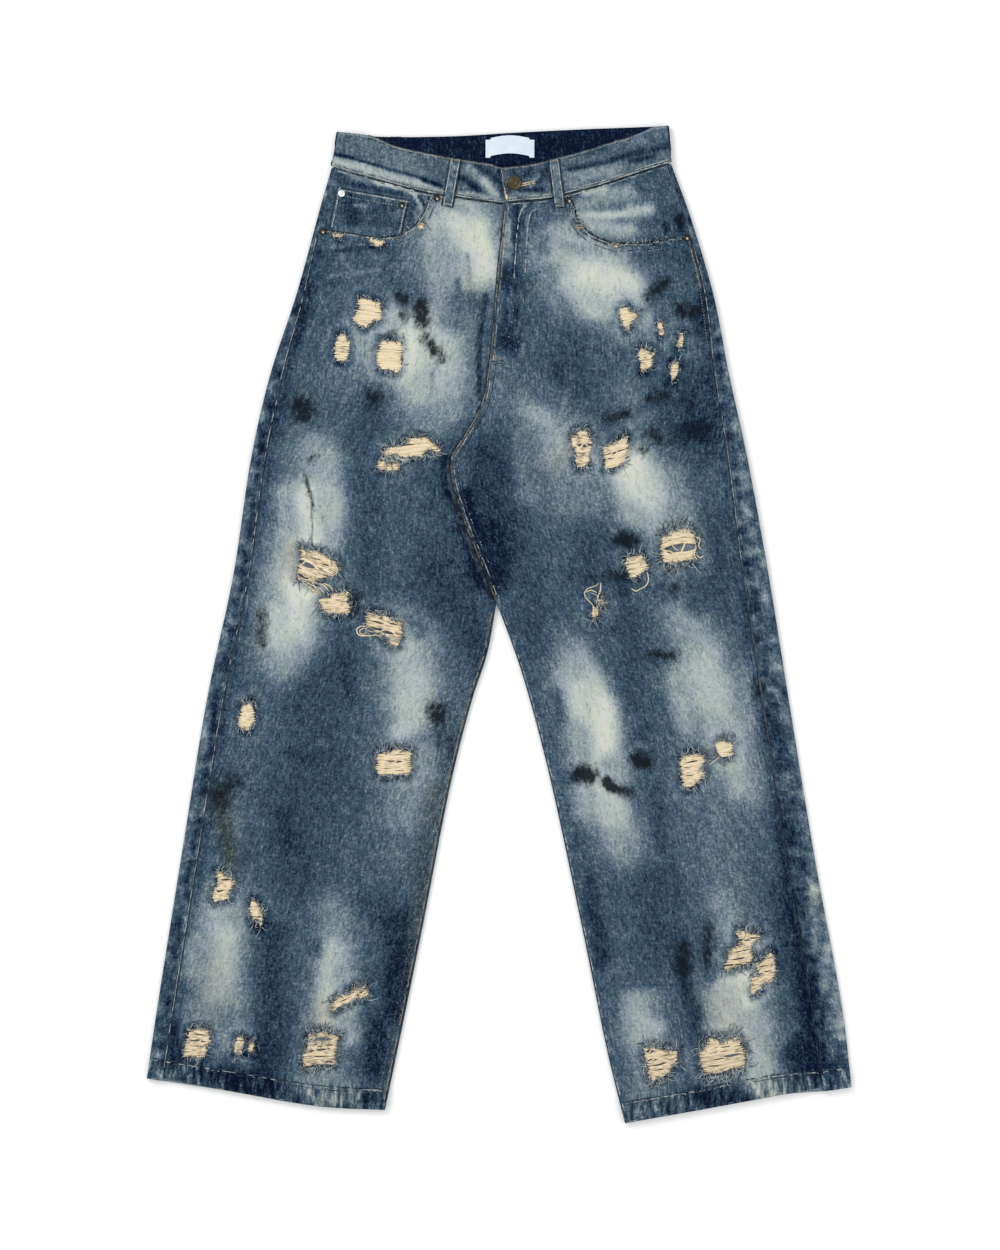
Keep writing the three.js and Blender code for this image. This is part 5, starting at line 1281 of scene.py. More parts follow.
for loop_name, (loop_top, loop_bottom, loop_on) in LOOPS.items():
    heights = (0.0, 0.0, -1) if loop_on is None else (loop_on + GAP + CLOTH, FRONT_AT_BAND + GAP + CLOTH)
    loops[loop_name] = belt_loop(loop_name, loop_top, loop_bottom, *heights)

# ---- the label, left bare ----


def label():
    left, right, low, high, tab, notch, arch = -15.5, 40, 531.5, 554, 5.5, 2, 3
    columns, rows = 44, 18
    mesh, u, v = grid_mesh("label", columns, rows)
    x = left + (right - left) * u
    t = np.clip((x - left - tab) / (right - left - 2 * tab), 0, 1)
    in_body = (x > left + tab - 0.4) & (x < right - tab + 0.4)
    bow = arch * np.sin(math.pi * t)
    top = np.where(in_body, high + bow, high - notch)
    bottom = np.where(in_body, low + notch + bow, low)
    y = top + (bottom - top) * v
    z = LIFT + BAND_CLOTH + GAP + 0.8 + 0.25 * np.sin(math.pi * t) + 0 * x
    put(mesh, np.column_stack([x, y, z]))
    face_out(mesh, (0, 0, 1))
    made = add_piece("label_ribbon", mesh, [SATIN], "label_satin", "label")
    shell = made.modifiers.new("ribbon", "SOLIDIFY")
    shell.thickness, shell.offset = 0.6 * MM, -1
    soft = made.modifiers.new("soft edge", "BEVEL")
    soft.width, soft.segments, soft.angle_limit = 0.15 * MM, 2, math.radians(50)
    return made


label_piece = label()

# ---- metal ----


def turned(name, profile, centre, floor, material, slot_name, solid):
    """A round stamped piece, spun from its profile of (radius, height)."""
    bm = bmesh.new()
    line = [bm.verts.new((r * MM, 0, z * MM)) for r, z in profile]
    edges = [bm.edges.new(pair) for pair in zip(line[:-1], line[1:])]
    bmesh.ops.spin(bm, geom=line + edges, cent=(0, 0, 0), axis=(0, 0, 1), angle=2 * math.pi,
                   steps=40, use_merge=True)
    bmesh.ops.remove_doubles(bm, verts=bm.verts, dist=1e-7)
    bmesh.ops.recalc_face_normals(bm, faces=bm.faces)
    bmesh.ops.translate(bm, verts=bm.verts, vec=(centre[0] * MM, centre[1] * MM, floor * MM))
    mesh = bpy.data.meshes.new(name)
    bm.to_mesh(mesh)
    bm.free()
    # where the crown is worn bright and a highlight is painted, a little right of and below the centre
    away = np.linalg.norm(places(mesh)[:, :2] / MM - centre - (0.5, -0.7), axis=1)
    paint(mesh, rub=1 - ease((away - 0.5) / 1.1))
    return add_piece(name, mesh, [material], slot_name, solid)


BUTTON = (17.5, 502.5)
button_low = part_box("button")[1].z / MM - 3
BUTTON_SHAPE = [
    (0, -2.6), (1.6, -2.6), (1.6, 0), (7.4, 0), (8.3, 0.5), (8.5, 1.1), (8.2, 1.9), (7.6, 2.5),
    (7.0, 2.7), (6.4, 2.5), (6.0, 2.15), (5.6, 2.1), (5.2, 2.3), (4.4, 2.5), (3.0, 2.7), (1.6, 2.85),
    (1.3, 2.6), (0.9, 2.5), (0, 2.5),
]
button = turned("tack_button", BUTTON_SHAPE, BUTTON, button_low, BRASS, "aged_brass", "button")
RIVET_SHAPE = [
    (0, 0), (3.6, 0), (3.9, 0.25), (3.8, 0.6), (3.3, 0.8), (2.9, 0.75), (2.5, 0.55), (2.0, 0.6),
    (1.6, 1.0), (1.0, 1.35), (0, 1.4),
]
RIVETS = {
    "rivet_coin_side": (-179.5, 490.5), "rivet_coin_front": (-111, 477), "rivet_mouth_right": (-71, 485),
    "rivet_side_right": (-201, 447), "rivet_mouth_left": (79.5, 482.5), "rivet_side_left": (213.5, 440),
}
for rivet_name, rivet_centre in RIVETS.items():
    plate = BRIGHT_RIVET if rivet_name == "rivet_coin_side" else DARK_RIVET
    rivet_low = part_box(rivet_name)[0].z / MM
    turned(rivet_name + "_cap", RIVET_SHAPE, rivet_centre, rivet_low, plate, "worn_rivet", rivet_name)

# ---- what thread lies on ----


def cloth_tree(*pieces):
    """One tree of the finished surfaces, for laying thread on."""
    ready = bpy.context.evaluated_depsgraph_get()
    corners, faces = [], []
    for each in pieces:
        first = len(corners)
        finished = each.evaluated_get(ready).to_mesh()
        corners.extend(vertex.co.copy() for vertex in finished.vertices)
        faces.extend([first + index for index in face.vertices] for face in finished.polygons)
    return BVHTree.FromPolygons(corners, faces)


TOPS = cloth_tree(front_right, front_left, back_right, back_left, band, facing_right, facing_left,
                  coin, loops["belt_loop_front_right"], loops["belt_loop_front_left"])
UNDERS = cloth_tree(back_right, back_left, yoke_right, yoke_left, band, pocket_right, pocket_left,
                    loops["belt_loop_side_right"], loops["belt_loop_centre"], loops["belt_loop_side_left"])


def resting(points, under=False):
    """The height of the top, or of the underside, at each point."""
    tree, start, ray = (UNDERS, -0.1, (0, 0, 1)) if under else (TOPS, 0.1, (0, 0, -1))
    heights = []
    for x, y in points:
        hit = tree.ray_cast(Vector((x * MM, y * MM, start)), Vector(ray))[0]
        heights.append(heights[-1] if hit is None and heights else (hit.z / MM if hit else 3.0))
    return np.array(heights)


# ---- stitches, and worn lines and painted shadows along seams ----

STITCH = 3.4  # one stitch and its gap
LINE_STEP = 5  # the length of one stretch of a worn line
stitches = {kind: [] for kind in ("tan", "washed", "bare")}
wear_and_shade_lines = {kind: [] for kind in ("shadow", "ridge", "tan", "bare")}
wear_and_shade_widths = {kind: [] for kind in wear_and_shade_lines}


def length_of(line):
    return np.linalg.norm(np.diff(np.array(line, float), axis=0), axis=1).sum()


def behind_loop(points):
    """Whether a stretch of seam passes under a front belt loop."""
    for top, bottom, loop_on in LOOPS.values():
        if loop_on is not None:
            top, bottom, down, sideways = loop_frame(top, bottom)
            away = points.mean(axis=0) - top
            if 0 < away @ down < LOOP_LENGTH and abs(away @ sideways) < LOOP_WIDTH / 2 + 0.5:
                return True
    return False


def stitch(kind, line, under=False, missing=0.0, on_loop=False):
    """Stitches along a line, each a short strand that dips in at both ends."""
    count = max(1, round(length_of(line) / STITCH))
    path = even(line, count * 10 + 1)
    for i in range(count):
        if chance.random() < missing:
            continue
        points = path[[i * 10 + 1, i * 10 + 3, i * 10 + 6, i * 10 + 8]] + chance.normal(0, 0.1, 2)
        if not (on_loop or under) and behind_loop(points):
            continue
        lie = np.array([0.3, 0.25, 0.25, 0.3] if under else [-0.25, 0.25, 0.25, -0.25])
        stitches[kind].append(np.column_stack([points, resting(points, under) + lie]))


def wear_and_shade(kind, line, width, missing=0.0, wander=0.12, on_loop=False, under=False):
    """A line on a seam or fold, in short overlapping stretches: painted shadow, pale worn ridge or tan."""
    count = max(1, round(length_of(line) / LINE_STEP))
    path = even(line, count * 3 + 1)
    for i in range(count):
        if chance.random() < missing:
            continue
        points = path[i * 3:i * 3 + 4] + chance.normal(0, wander, 2)
        if not (on_loop or under) and behind_loop(points):
            continue
        points[[0, -1]] += (points[[0, -1]] - points[[1, -2]]) * 0.35
        proud = (0.02 if kind == "shadow" else 0.18) * (-1 if under else 1)
        wear_and_shade_lines[kind].append(np.column_stack([points, resting(points, under) + proud]))
        wear_and_shade_widths[kind].append(width / 2 * chance.uniform(0.75, 1.2))


def beside(line, distance):
    """A line at a distance to the left of another, looking along it."""
    line = np.array(line, float)
    along = np.gradient(line, axis=0)
    along /= np.linalg.norm(along, axis=1, keepdims=True)
    return line + distance * np.stack([-along[:, 1], along[:, 0]], axis=1)


def clipped(line, low, high, axis=0):
    line = np.array(line, float)
    return line[(line[:, axis] >= low) & (line[:, axis] <= high)]


def lay(line, rows, turn=1, across=None):
    """Lays worn lines, painted shadows and stitches along a seam.

    A row is a kind, a distance to the left of the seam (or the given way across it), a width,
    which is 0 for stitches, and the share that is missing.
    """
    for kind, distance, width, missing in rows:
        if across is None:
            moved = beside(line, turn * distance)
        else:
            moved = line + np.multiply(across, distance)
        if width:
            wear_and_shade(kind, moved, width, missing)
        else:
            stitch(kind, moved, missing=missing)


UP = (0, 1)
right_top, right_seam = flowing(RIGHT["band_top"], 160), flowing(RIGHT["band_seam"], 160)
left_top, left_seam = flowing(LEFT["band_top"], 160), flowing(LEFT["band_seam"], 160)
for top_line, low, high in ((right_top, -150, -1), (left_top, 4, 150)):
    lay(clipped(top_line, low, high),
        [("shadow", -0.2, 1.3, 0), ("tan", -1.3, 0.8, 0.3), ("shadow", -3.4, 1.1, 0.45)], across=UP)
for top_line, low, high in ((right_top, -184, -3), (left_top, 5, 189)):
    lay(clipped(top_line, low, high), [("washed", -2.4, 0, 0.35)], across=UP)
for seam_line, low, high in ((right_seam, -189, 3), (left_seam, 10, 193)):
    lay(clipped(seam_line, low, high),
        [("ridge", 3.6, 1.1, 0.15), ("shadow", 2.2, 1.0, 0.2), ("washed", 2.4, 0, 0.15),
         ("ridge", 0.7, 1.2, 0.04), ("shadow", -0.9, 2.2, 0), ("shadow", -1.9, 1.4, 0.3),
         ("ridge", -3.4, 1.1, 0.25)], across=UP)
lap_edge = [(2.6, 518.5), (4.2, 508), (5.2, 498), (8.2, 484)]
wear_and_shade("shadow", np.add(lap_edge, (-1.6, 0)), 2.0)
wear_and_shade("ridge", lap_edge, 1.5)
wear_and_shade("bare", np.add(lap_edge[1:], (0.6, 0)), 1.2, 0.3)
wear_and_shade("bare", np.add(lap_edge[2:], (0.9, 0)), 1.9)
wear_and_shade("shadow", np.add(lap_edge, (2.2, 0)), 1.1, 0.4)
stitch("tan", np.add(lap_edge, (3.0, 0)))

fly_line = flowing(FLY, 300)
low_fly = clipped(fly_line, 28, 477, 1)
wear_and_shade("shadow", beside(low_fly, -1.4), 2.2)
wear_and_shade("shadow", clipped(beside(fly_line, -3.4), 28, 188, 1), 5.0)
wear_and_shade("shadow", clipped(beside(fly_line, -6.0), 60, 180, 1), 2.4, 0.3)
wear_and_shade("tan", beside(clipped(low_fly, 188, 477, 1), 0.5), 1.2, 0.1)
wear_and_shade("tan", beside(clipped(low_fly, 28, 188, 1), 0.5), 0.9, 0.5)
lay(low_fly, [("shadow", 2.0, 1.2, 0.1), ("tan", 2.6, 0, 0.4), ("ridge", 3.8, 0.9, 0.4)])
wear_and_shade("shadow", clipped(beside(fly_line, 7.5), 28, 300, 1), 1.3, 0.15)
stitch("washed", clipped(beside(fly_line, 8.4), 28, 300, 1), missing=0.7)
J_OUTER = [(36, 477.5), (28, 474), (24, 466), (21.5, 450), (19, 420), (17, 385), (15, 350), (8, 322),
           (-6, 309)]
J_INNER = [(48, 474), (38, 470), (34, 458), (32, 440), (30, 400), (27, 360), (24, 330), (14, 304),
           (-7, 297)]
for j_points, hidden in ((J_OUTER, 0.3), (J_INNER, 0.5)):
    j_line = flowing(j_points, 200)
    wear_and_shade("shadow", beside(j_line, 1.2), 1.3, hidden)
    wear_and_shade("ridge", clipped(beside(j_line, -0.6), 395, 480, 1), 1.3, hidden)
    stitch("washed", beside(j_line, 0.2), missing=hidden + 0.35)
wear_and_shade("shadow", flowing([(-22, 258), (-22.6, 290), (-21.5, 322), (-19, 350), (-14, 374)], 60), 2.2, 0.05)
wear_and_shade("shadow", flowing([(-24.5, 262), (-24.4, 290), (-23, 330)], 40), 1.6, 0.3)
for bartack in ([(-11, 302), (4, 302.5)], [(26, 304), (30, 313)]):
    for shift in (-0.9, 0, 0.9):
        stitch("tan", np.add(bartack, (0, shift)))
wear_and_shade("shadow", [(-10, 299.6), (5, 300)], 1.6)

for leg in (RIGHT, LEFT):
    sign = leg["sign"]
    frayed = sign > 0
    lay(flowing(leg["mouth"], 200)[3:-5],
        [("shadow", -1.3, 2.6 if frayed else 1.8, 0), ("ridge", 0.5, 1.1, 0.5 if frayed else 0.08),
         ("shadow", 2.4, 2.2 if frayed else 1.0, 0.35), ("washed", 2.2, 0, 0.3 if frayed else 0.1),
         ("washed", 8.6, 0, 0.5 if frayed else 0.25), ("shadow", 7.6, 1.1, 0.5)], sign)
    outseam = outseam_of(leg)
    line = clipped(outseam, -506, 441, 1)
    wear_and_shade("shadow", line + (-sign * 1.0, 0), 1.8)
    wear_and_shade("ridge", clipped(line + (sign * 0.9, 0), -520 if sign < 0 else -60, 441, 1), 0.9, 0.3)
    wear_and_shade("shadow", line + (sign * 2.2, 0), 1.0, 0.3)
    hem_line = clipped(flowing(leg["hem"], 160), -396, 396)
    lay(hem_line, [("shadow", HEM_DEPTH - 1.2, 1.5, 0.25), ("washed", HEM_DEPTH - 4, 0, 0.75)], across=UP)
    stitch("tan", hem_line + (0, HEM_DEPTH - 4), under=True)
    lay(hem_line, [("ridge", HEM_DEPTH - 2.8, 1.1, 0.55), ("shadow", HEM_DEPTH - 5.0, 1.0, 0.55),
                   ("ridge", 1.2, 0.8, 0.75)], across=UP)
    inner_line = flowing(leg["inner"], 200)[4:-4]
    lay(inner_line, [("shadow", 1.0, 1.2, 0.2)], sign)
    # the right inseam is felled, so it has two rows of stitches and a worn fold between them
    lay(inner_line, [("ridge", 2.6, 1.0, 0.4)] if sign > 0 else
        [("shadow", -2.2, 1.3, 0.1), ("tan", -3.4, 1.2, 0.2), ("tan", -4.6, 0, 0.2),
         ("shadow", -10.0, 1.2, 0.4), ("tan", -10.8, 0, 0.4)])
stitch("tan", clipped(outseam + (-4.4, 0), 300, 438, 1))
wear_and_shade("tan", clipped(outseam + (-3.2, 0), 375, 440, 1), 1.2, 0.1)

coin_side = [np.add(COIN_TOP[0], (2, 0)), np.add(COIN_BOTTOM[0], (2.2, 3))]
coin_front = [np.add(COIN_TOP[1], (-2, 0)), np.add(COIN_BOTTOM[-1], (-2, 2))]
for coin_line in (coin_side, coin_front, np.add(COIN_TOP, (0, -2.4))):
    stitch("washed", coin_line)
    wear_and_shade("ridge", np.add(coin_line, (0.8, 0.8)), 1.1, 0.1)
stitch("washed", np.add(COIN_TOP, (0, -8)))
wear_and_shade("shadow", np.add(COIN_TOP, (0, 0.9)), 1.8)
wear_and_shade("shadow", [np.add(COIN_TOP[0], (-0.6, 0)), np.add(COIN_BOTTOM[0], (-0.6, 2))], 1.6)
wear_and_shade("shadow", [np.add(COIN_TOP[1], (0.9, 0)), np.add(COIN_BOTTOM[-1], (1.2, 2))], 2.0)

LOOP_EDGES = [("ridge", -0.05, 1.1, 0.2), ("shadow", 0.24, 1.8, 0), ("shadow", 0.46, 2.2, 0),
              ("shadow", -0.36, 1.0, 0.3)]
LOOP_ENDS = [(1.2, "tan"), (3.8, "shadow"), (LOOP_LENGTH - 4, "shadow"), (LOOP_LENGTH - 1.6, "ridge"),
             (LOOP_LENGTH + 0.8, "shadow")]
for loop_top, loop_bottom, loop_on in LOOPS.values():
    top, bottom, down, sideways = loop_frame(loop_top, loop_bottom)
    under = loop_on is None
    for offset in (-3.9, 3.9):
        out = sideways * offset
        stitch("washed", [top + out + down * 2, bottom + out - down * 2], under, 0.25, True)
        for kind, away, width, hidden in () if under else LOOP_EDGES:
            edge = np.array([top + out * 1.2, bottom + out * 1.2])
            wear_and_shade(kind, edge + out * away, width, hidden, on_loop=True)
    for distance in (2.0, 2.9, LOOP_LENGTH - 2.9, LOOP_LENGTH - 2.0):
        at = top + down * distance
        stitch("tan", [at - sideways * 5.4, at + sideways * 5.4], under, 0, True)
    for distance, kind in () if under else LOOP_ENDS:
        at = top + down * distance
        wear_and_shade(kind, [at - sideways * 5.5, at + sideways * 5.5], 1.4, on_loop=True)

# the back: yoke seams, the seat seam, the band, the pockets
for leg in (RIGHT, LEFT):
    sign = leg["sign"]
    side_x, side_y = leg["side"][0]
    yoke_x, yoke_y = np.array(leg["side"][0]) + YOKE_END * np.subtract(leg["side"][1], leg["side"][0])
    for offset in (-2.2, -7.5):
        stitch("tan", [(sign * 3, 436 + offset), (yoke_x - sign * 6, yoke_y + offset)], under=True)
    for offset in (2.4, 32):
        stitch("tan", [(sign * 4, 520 + offset), (side_x - sign * 6, side_y + offset)], under=True)
    outline = np.array(back_pocket_outline(sign))
    middle = outline.mean(axis=0)
    yoke_seam = [(sign * 3, 435.4), (yoke_x - sign * 6, yoke_y - 0.6)]
    band_seam = [(sign * 4, 519.4), (side_x - sign * 6, side_y - 0.6)]
    hem_seam = flowing(leg["hem"], 160)[4:-4] + (0, HEM_DEPTH - 1.2)
    around = closed(outline) - middle
    for seam_line in (yoke_seam, band_seam, hem_seam, middle + around * 1.008):
        wear_and_shade("shadow", seam_line, 1.9, 0.05, under=True)
    for seam_line in (np.add(yoke_seam, (0, -1.9)), np.add(band_seam, (0, -1.9)), hem_seam - (0, 2),
                      middle + around * 0.985):
        wear_and_shade("ridge", seam_line, 1.2, 0.25, under=True)
    for inset_share in (0.968, 0.90):
        stitch("tan", middle + (outline - middle) * inset_share, under=True)
    for offset in (3, 14):
        stitch("tan", [outline[0] + (3, -offset), outline[-1] + (-3, -offset)], under=True)
for offset in (2.4, 7.8):
    stitch("tan", [(1 + offset, 433), (-3 + offset, 40)], under=True)
wear_and_shade("shadow", [(0.4, 433), (-3.4, 40)], 1.9, 0.05, under=True)
wear_and_shade("ridge", [(2.0, 433), (-1.8, 40)], 1.2, 0.25, under=True)

# the worn thread of the buttonhole, on both sides of its slit
HOLE_START, HOLE_END, HOLE_SLOPE = 25, 40, 0.22
for way in (-1, 1):
    for x in np.arange(HOLE_START, HOLE_END, 0.8):
        y = BUTTON[1] - 2.4 + HOLE_SLOPE * (x - HOLE_START) + way * 0.8
        points = np.array([(x, y - way * 0.8), (x, y), (x + 0.3, y + way * 0.6), (x, y + way * 1.4)])
        stitches["bare"].append(np.column_stack([points, resting(points) + (-0.1, 0.4, 0.4, 0.0)]))
wear_and_shade("shadow", [(24, 498), (40, 501.5)], 1.6)


def sew(name, paths, widths, material, spread, level, sides=5, flat=0.7, ends=0.0):
    """Joins the laid lines into one piece. Their tints lie about a level."""
    paths = np.array(paths)
    radii = np.array([ends, 1.0, 1.0, ends])[None] * np.broadcast_to(widths, len(paths))[:, None]
    tints = np.clip(level + chance.normal(0, spread, len(paths)), 0, 1)
    return strands(name, paths, radii, tints, material, "faded_denim", sides, flat)


SHADOW, RIDGE = wear_and_shade_lines["shadow"], wear_and_shade_lines["ridge"]
FLAT_LINE = {"sides": 4, "flat": 0.5, "ends": 0.4}
thread_pieces = [
    sew("topstitches_tan", stitches["tan"], 0.5, TAN_THREAD, 0.22, 0.45),
    sew("topstitches_washed", stitches["washed"], 0.48, PALE_THREAD, 0.25, 0.45),
    sew("seam_shadows", SHADOW, wear_and_shade_widths["shadow"], EDGE_AND_SHADE_YARN, 0.3, 0.25, 4, 0.12, 0.5),
    sew("seam_ridges", RIDGE, wear_and_shade_widths["ridge"], RIDGE_YARN, 0.3, 0.5, **FLAT_LINE),
    sew("seam_edges_tan", wear_and_shade_lines["tan"], wear_and_shade_widths["tan"], TAN_THREAD, 0.25, 0.55, **FLAT_LINE),
    sew("seam_edges_bare", wear_and_shade_lines["bare"], wear_and_shade_widths["bare"], CREAM_YARN, 0.12, 0.55, **FLAT_LINE),
    sew("buttonhole_thread", stitches["bare"], 0.5, CREAM_YARN, 0.16, 0.5),
]

# ---- threads across the rips, and frayed ends round them ----

WEFT_PITCH = 1.15
WEFT_POINTS = 11


def crossings(outline, y):
    """Where a level line crosses an outline, in pairs."""
    found = []
    for (x0, y0), (x1, y1) in zip(outline, np.roll(outline, -1, axis=0)):
        if (y0 > y) != (y1 > y):
            found.append(x0 + (y - y0) * (x1 - x0) / (y1 - y0))
    found.sort()
    return list(zip(found[::2], found[1::2]))


def weft_threads(leg, each):
    """Pale threads that still bridge a rip, close together, parted at its gaps."""
    outline = np.array(each["outline"], float)
    sheared = outline - np.stack([0 * outline[:, 0], each["rise"] * outline[:, 0]], axis=1)
    made, tints = [], []
    level = sheared[:, 1].min() + 0.5
    while level < sheared[:, 1].max() - 0.3:
        for start, end in crossings(sheared, level):
            out_left, out_right = chance.uniform(-0.4, 2.6, 2) * min(1, (end - start) / 16)
            x = np.linspace(start - out_left, end + out_right, WEFT_POINTS)
            share = np.linspace(0, 1, WEFT_POINTS)
            bow = np.sin(math.pi * share)
            wave = (0.3 + 0.6 * each["brown_and_shade"]) * np.sin(x / chance.uniform(3, 6) + chance.uniform(0, 6))
            y = level + each["rise"] * x + wave * bow + chance.normal(0, 0.25)
            for gx0, gy0, gx1, gy1, half in each["gaps"]:
                on_gap = np.clip((x - gx0) / (gx1 - gx0), -0.4, 1.4)
                middle = gy0 + (gy1 - gy0) * on_gap
                open_here = np.clip(1 - (2 * on_gap - 1) ** 2, 0, 1) ** 0.5 * half
                offset = y - middle
                away = np.abs(offset)
                pushed = open_here + away * (1 - open_here / (half * 4))
                y = middle + np.sign(offset + 1e-6) * np.where(away < half * 4, pushed, away)
            points = np.stack([x, y], axis=1) + each["centre"]
            over = chance.random() < 0.55
            z = front_height(leg, points) + chance.normal(-0.4, 0.12) - 0.3 * bow
            z[[0, -1]] += 0.6 if over else -0.9
            z[[1, -2]] += 0.5 if over else -0.3
            made.append(np.column_stack([points, z]))
            # darker bands across the threads, for dirt and for painted shade where they bunch
            shade = clouds(points * (0.16, 0.62), 1, 4)
            tint = chance.normal(0.765, 0.05) + shade * (0.12 + 0.9 * each["brown_and_shade"])
            tints.append(np.clip(tint - 0.24 * each["brown_and_shade"], 0, 1))
        level += WEFT_PITCH * chance.uniform(0.75, 1.25)
    return made, tints


FRAY_POINTS = 6


def fray(leg, start, heading, length, curl, dark):
    """One loose warp end that curls out over the cloth."""
    steps = np.linspace(0, 1, FRAY_POINTS)
    angles = heading + curl * steps
    moves = np.stack([np.cos(angles), np.sin(angles)], axis=1) * length / (FRAY_POINTS - 1)
    points = start + np.cumsum(moves, axis=0)
    z = front_height(leg, points) + 0.2 + 0.8 * np.sin(math.pi * steps) * chance.random()
    tint = chance.uniform(0.0, 0.3) if dark else chance.uniform(0.3, 0.85)
    return np.column_stack([points, z]), tint


def frays(leg, each):
    """Broken warp ends at the top and bottom of a rip, and a few at its sides."""
    outline = np.array(each["outline"], float)
    ring = even(closed(outline), 120)
    along = np.gradient(ring, axis=0)
    outwards = np.stack([along[:, 1], -along[:, 0]], axis=1)
    outwards /= np.linalg.norm(outwards, axis=1, keepdims=True) + 1e-9
    if ((ring + outwards * 0.5) ** 2).sum() < (ring**2).sum():
        outwards = -outwards
    made = []
    for _ in range(int(length_of(ring) * (0.6 + 1.1 * each["hair"]))):
        pick = int(chance.integers(0, len(ring)))
        upright = abs(outwards[pick, 1])
        if upright < 0.4 and chance.random() < 0.75:
            continue
        reach = 2 + chance.gamma(2.2, 2.1) * (0.4 + 0.6 * upright) * each["hair"]
        heading = math.atan2(outwards[pick, 1], outwards[pick, 0] * 0.4) + chance.normal(0, 0.55)
        start = ring[pick] + each["centre"] - outwards[pick] * chance.uniform(-1.0, 2.5)
        curl, dark = chance.normal(0, 1.6), chance.random() < 0.5
        made.append(fray(leg, start, heading, min(reach, 16), curl, dark))
    # dark warp that has folded back along the upper edge, which also lays the painted shade of that edge
    for _ in range(int(length_of(ring) * 0.45 * each["hair"])):
        pick = int(chance.integers(0, len(ring)))
        if outwards[pick, 1] < 0.25:
            continue
        heading = math.atan2(along[pick, 1], along[pick, 0]) + chance.normal(0, 0.35)
        start = ring[pick] + each["centre"] + outwards[pick] * chance.uniform(0.2, 4.0) * each["hair"]
        made.append(fray(leg, start, heading, chance.uniform(5, 11), chance.normal(0, 0.9), True))
    return made


# single yarns pulled out of the rips, laid one by one
LOOSE_WEFT = [(LEFT, line) for line in (
    [(167.9, 60.7), (170, 51.2), (167, 44), (160, 40)], [(150, 41), (156, 38), (162, 42)], [(114.8, 49.1),
    (110.7, 44.3), (99.8, 40.2), (96.4, 34.1), (101.2, 27.9), (107.3, 21.1), (110, 15.6), (108, 7.4)],
    [(115.5, 48.4), (115.5, 40.2), (112.8, 32), (110, 22.4)], [(98, 36), (104, 39), (112, 36)],
    [(252, -149), (247, -154), (243, -157), (239.4, -160.5)], [(184, 92), (190, 95), (196, 92), (200, 86),
    (206, 84)], [(222, 96), (224, 88), (222, 80), (226, 72)], [(222, 100), (229, 97), (227, 90),
    (231, 84)], [(224, 80), (229, 76), (233, 79)],
)]
LOOSE_WEFT += [(RIGHT, line) for line in (
    [(-228, 52), (-218, 47), (-207, 42), (-198, 36)], [(-224, 48), (-214, 41), (-206, 36), (-199, 31)],
    [(-213, 56), (-210, 48), (-200, 45), (-194, 38)], [(-220, 56), (-213, 49), (-209, 41), (-203, 38)],
    [(-201, 47), (-193, 44), (-189, 37)], [(-216, 44), (-211, 37), (-205, 34)], [(-226, 60), (-220, 54),
    (-214, 55), (-206, 50)], [(-196, 66), (-189, 68), (-184, 63), (-187, 57), (-194, 55)], [(-150, -3),
    (-157, -2), (-162, -5), (-161, -11), (-155, -13), (-147, -12)], [(-150, -4), (-156, -5), (-159, -8),
    (-157, -11), (-151, -10)], [(-157, -12), (-148, -13), (-140, -12), (-132, -14)], [(-152, -5),
    (-146, -8), (-138, -8)], [(-134, 190), (-128, 186), (-121, 187), (-114, 184)], [(-118, 191),
    (-110, 187), (-102, 188)],
)]
LOOSE_WARP = [(RIGHT, [(x, -465 - 2 * (i % 3)), (x + 0.8, -472), (x - 0.6, -480 - 3 * (i % 2))])
              for i, x in enumerate(range(-217, -192, 2))]
LOOSE_WARP += [(LEFT, [(118, 436), (112, 430), (109, 424), (113, 418)]),
               (LEFT, [(120, 434), (116, 428), (118, 420)])]
LOOSE_WARP += [(LEFT, [(x, 104), (x + 4, 111), (x + 6 + i, 119 - i)])
               for i, x in enumerate(range(200, 220, 4))]
LOOSE_WARP += [(LEFT, [(x, y), (x - 2, y + 5), (x + 3, y + 11), (x + 9, y + 12)])
               for x, y in ((166, -487), (172, -485), (178, -484), (186, -485), (229, -482), (233, -476),
                            (240, -471), (248, -472), (255, -473), (262, -470), (269, -468), (276, -470))]
LOOSE_WARP += [(LEFT, [(x, y), (x + 4, y - 6), (x + 1, y - 12), (x - 6, y - 13)])
               for x, y in ((172, -516), (180, -514), (188, -510), (238, -512), (246, -511), (254, -509),
                            (262, -507), (270, -505), (279, -500))]

weft, weft_tints, ends, end_tints = [], [], [], []
for leg, torn in ((RIGHT, RIGHT_RIPS), (LEFT, LEFT_RIPS)):
    for each in torn:
        more, tone = weft_threads(leg, each)
        weft += more
        weft_tints += tone
        for path, tone in frays(leg, each):
            ends.append(path)
            end_tints.append(tone)
for leg, kept in ((LEFT, (0.12, 0.97)), (RIGHT, (0.45, 0.97))):
    mouth_line = even(leg["mouth"], 200)
    for _ in range(150 if leg is LEFT else 40):
        start = mouth_line[int(chance.uniform(*kept) * 199)] + chance.normal(0, 0.8, 2)
        heading = chance.uniform(0, 2 * math.pi)
        length, curl, dark = 1.5 + chance.gamma(2, 1.3), chance.normal(0, 1.5), chance.random() < 0.75
        path, tone = fray(leg, start, heading, length, curl, dark)
        ends.append(path + (0, 0, 0.5))
        end_tints.append(tone)
for leg, line in LOOSE_WEFT:
    path = flowing(line, WEFT_POINTS)
    weft.append(np.column_stack([path, front_height(leg, path) + 0.5]))
    weft_tints.append(np.linspace(*chance.uniform(0.45, 0.8, 2), WEFT_POINTS))
for leg, line in LOOSE_WARP:
    path = flowing(line, FRAY_POINTS)
    ends.append(np.column_stack([path, front_height(leg, path) + 0.3]))
    end_tints.append(chance.uniform(0.3, 0.9))
weft = np.array(weft)
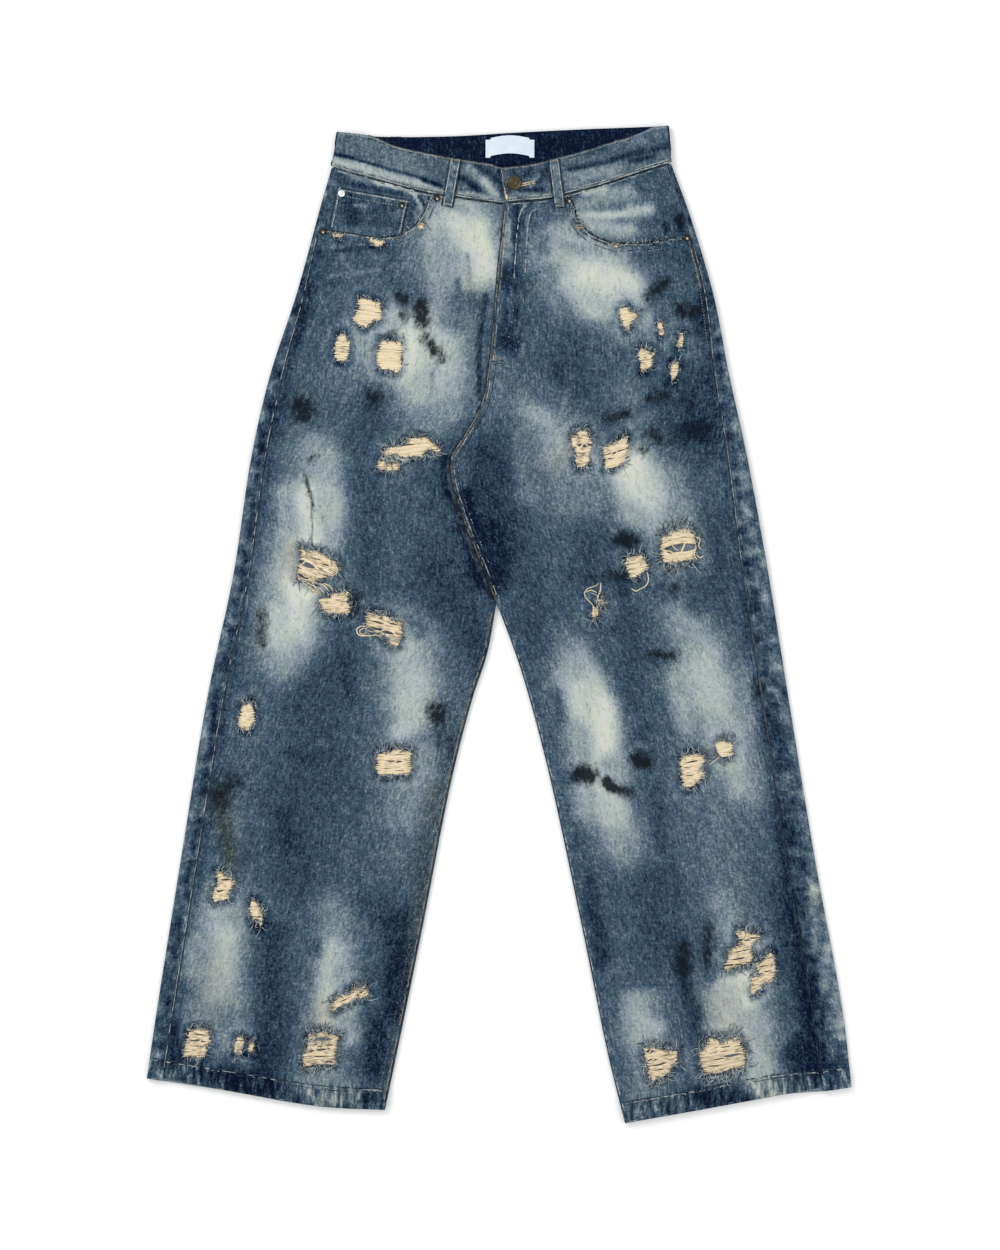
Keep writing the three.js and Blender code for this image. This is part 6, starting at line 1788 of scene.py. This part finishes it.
weft_radii = 1.15 * np.sin(np.linspace(0.0, 1, WEFT_POINTS) * math.pi) ** 0.3
weft_radii = weft_radii[None] * chance.uniform(0.85, 1.15, (len(weft), 1))
weft_radii[-len(LOOSE_WEFT):] *= 0.62
weft_piece = strands("rip_weft_threads", weft, weft_radii, np.array(weft_tints), CREAM_YARN,
                     "faded_denim", flat=0.42)
ends = np.array(ends)
end_radii = (0.4 * np.array([0, 1, 1, 0.95, 0.8, 0.0]))[None] * chance.uniform(0.7, 1.3, (len(ends), 1))
ends_piece = strands("rip_frayed_ends", ends, end_radii, np.array(end_tints), INDIGO_YARN,
                     "faded_denim", sides=3)

# ---- floor, light and camera ----


def area_light(name, place, size, power, colour="#ffffff"):
    lamp = bpy.data.lights.new(name, "AREA")
    lamp.shape = "DISK"
    lamp.size = size
    lamp.energy = power
    lamp.color = linear(colour)[:3]
    made = bpy.data.objects.new(name, lamp)
    made.location = place
    made.rotation_euler = (-Vector(place)).to_track_quat("-Z", "Y").to_euler()
    bpy.context.scene.collection.objects.link(made)


floor_mesh, _, _ = grid_mesh("floor", 2, 2)
floor_places = places(floor_mesh) * (6, 6, 0) + (0, 0, -0.0005)
floor_mesh.vertices.foreach_set("co", floor_places.astype(np.float32).ravel())
floor = bpy.data.objects.new("floor", floor_mesh)
floor_mesh.materials.append(matt_paper("matt_backdrop_paper", "#fbfbfb"))
bpy.context.scene.collection.objects.link(floor)
floor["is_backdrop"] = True

world = bpy.data.worlds.new("soft studio")
world.use_nodes = True
world.node_tree.nodes["Background"].inputs[0].default_value = (1, 1, 1, 1)
world.node_tree.nodes["Background"].inputs[1].default_value = 0.9
bpy.context.scene.world = world
area_light("key", (-2.2, 2.0, 2.2), 1.4, 45)
area_light("fill", (2.5, -1.5, 2.8), 2.5, 12)
bpy.context.scene.view_settings.view_transform = "Standard"

CAMERA_HEIGHT = 5.0
FRAME_LENGTH = 1.425  # the long side of the view at the floor
camera_data = bpy.data.cameras.new("camera")
camera_data.sensor_fit = "AUTO"
camera_data.sensor_width = 36
camera_data.lens = 36 * CAMERA_HEIGHT / FRAME_LENGTH
camera_data.clip_end = 50
camera = bpy.data.objects.new("camera", camera_data)
camera.location = (0.0009, -0.0006, CAMERA_HEIGHT)
bpy.context.scene.collection.objects.link(camera)
bpy.context.scene.camera = camera

low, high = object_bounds()
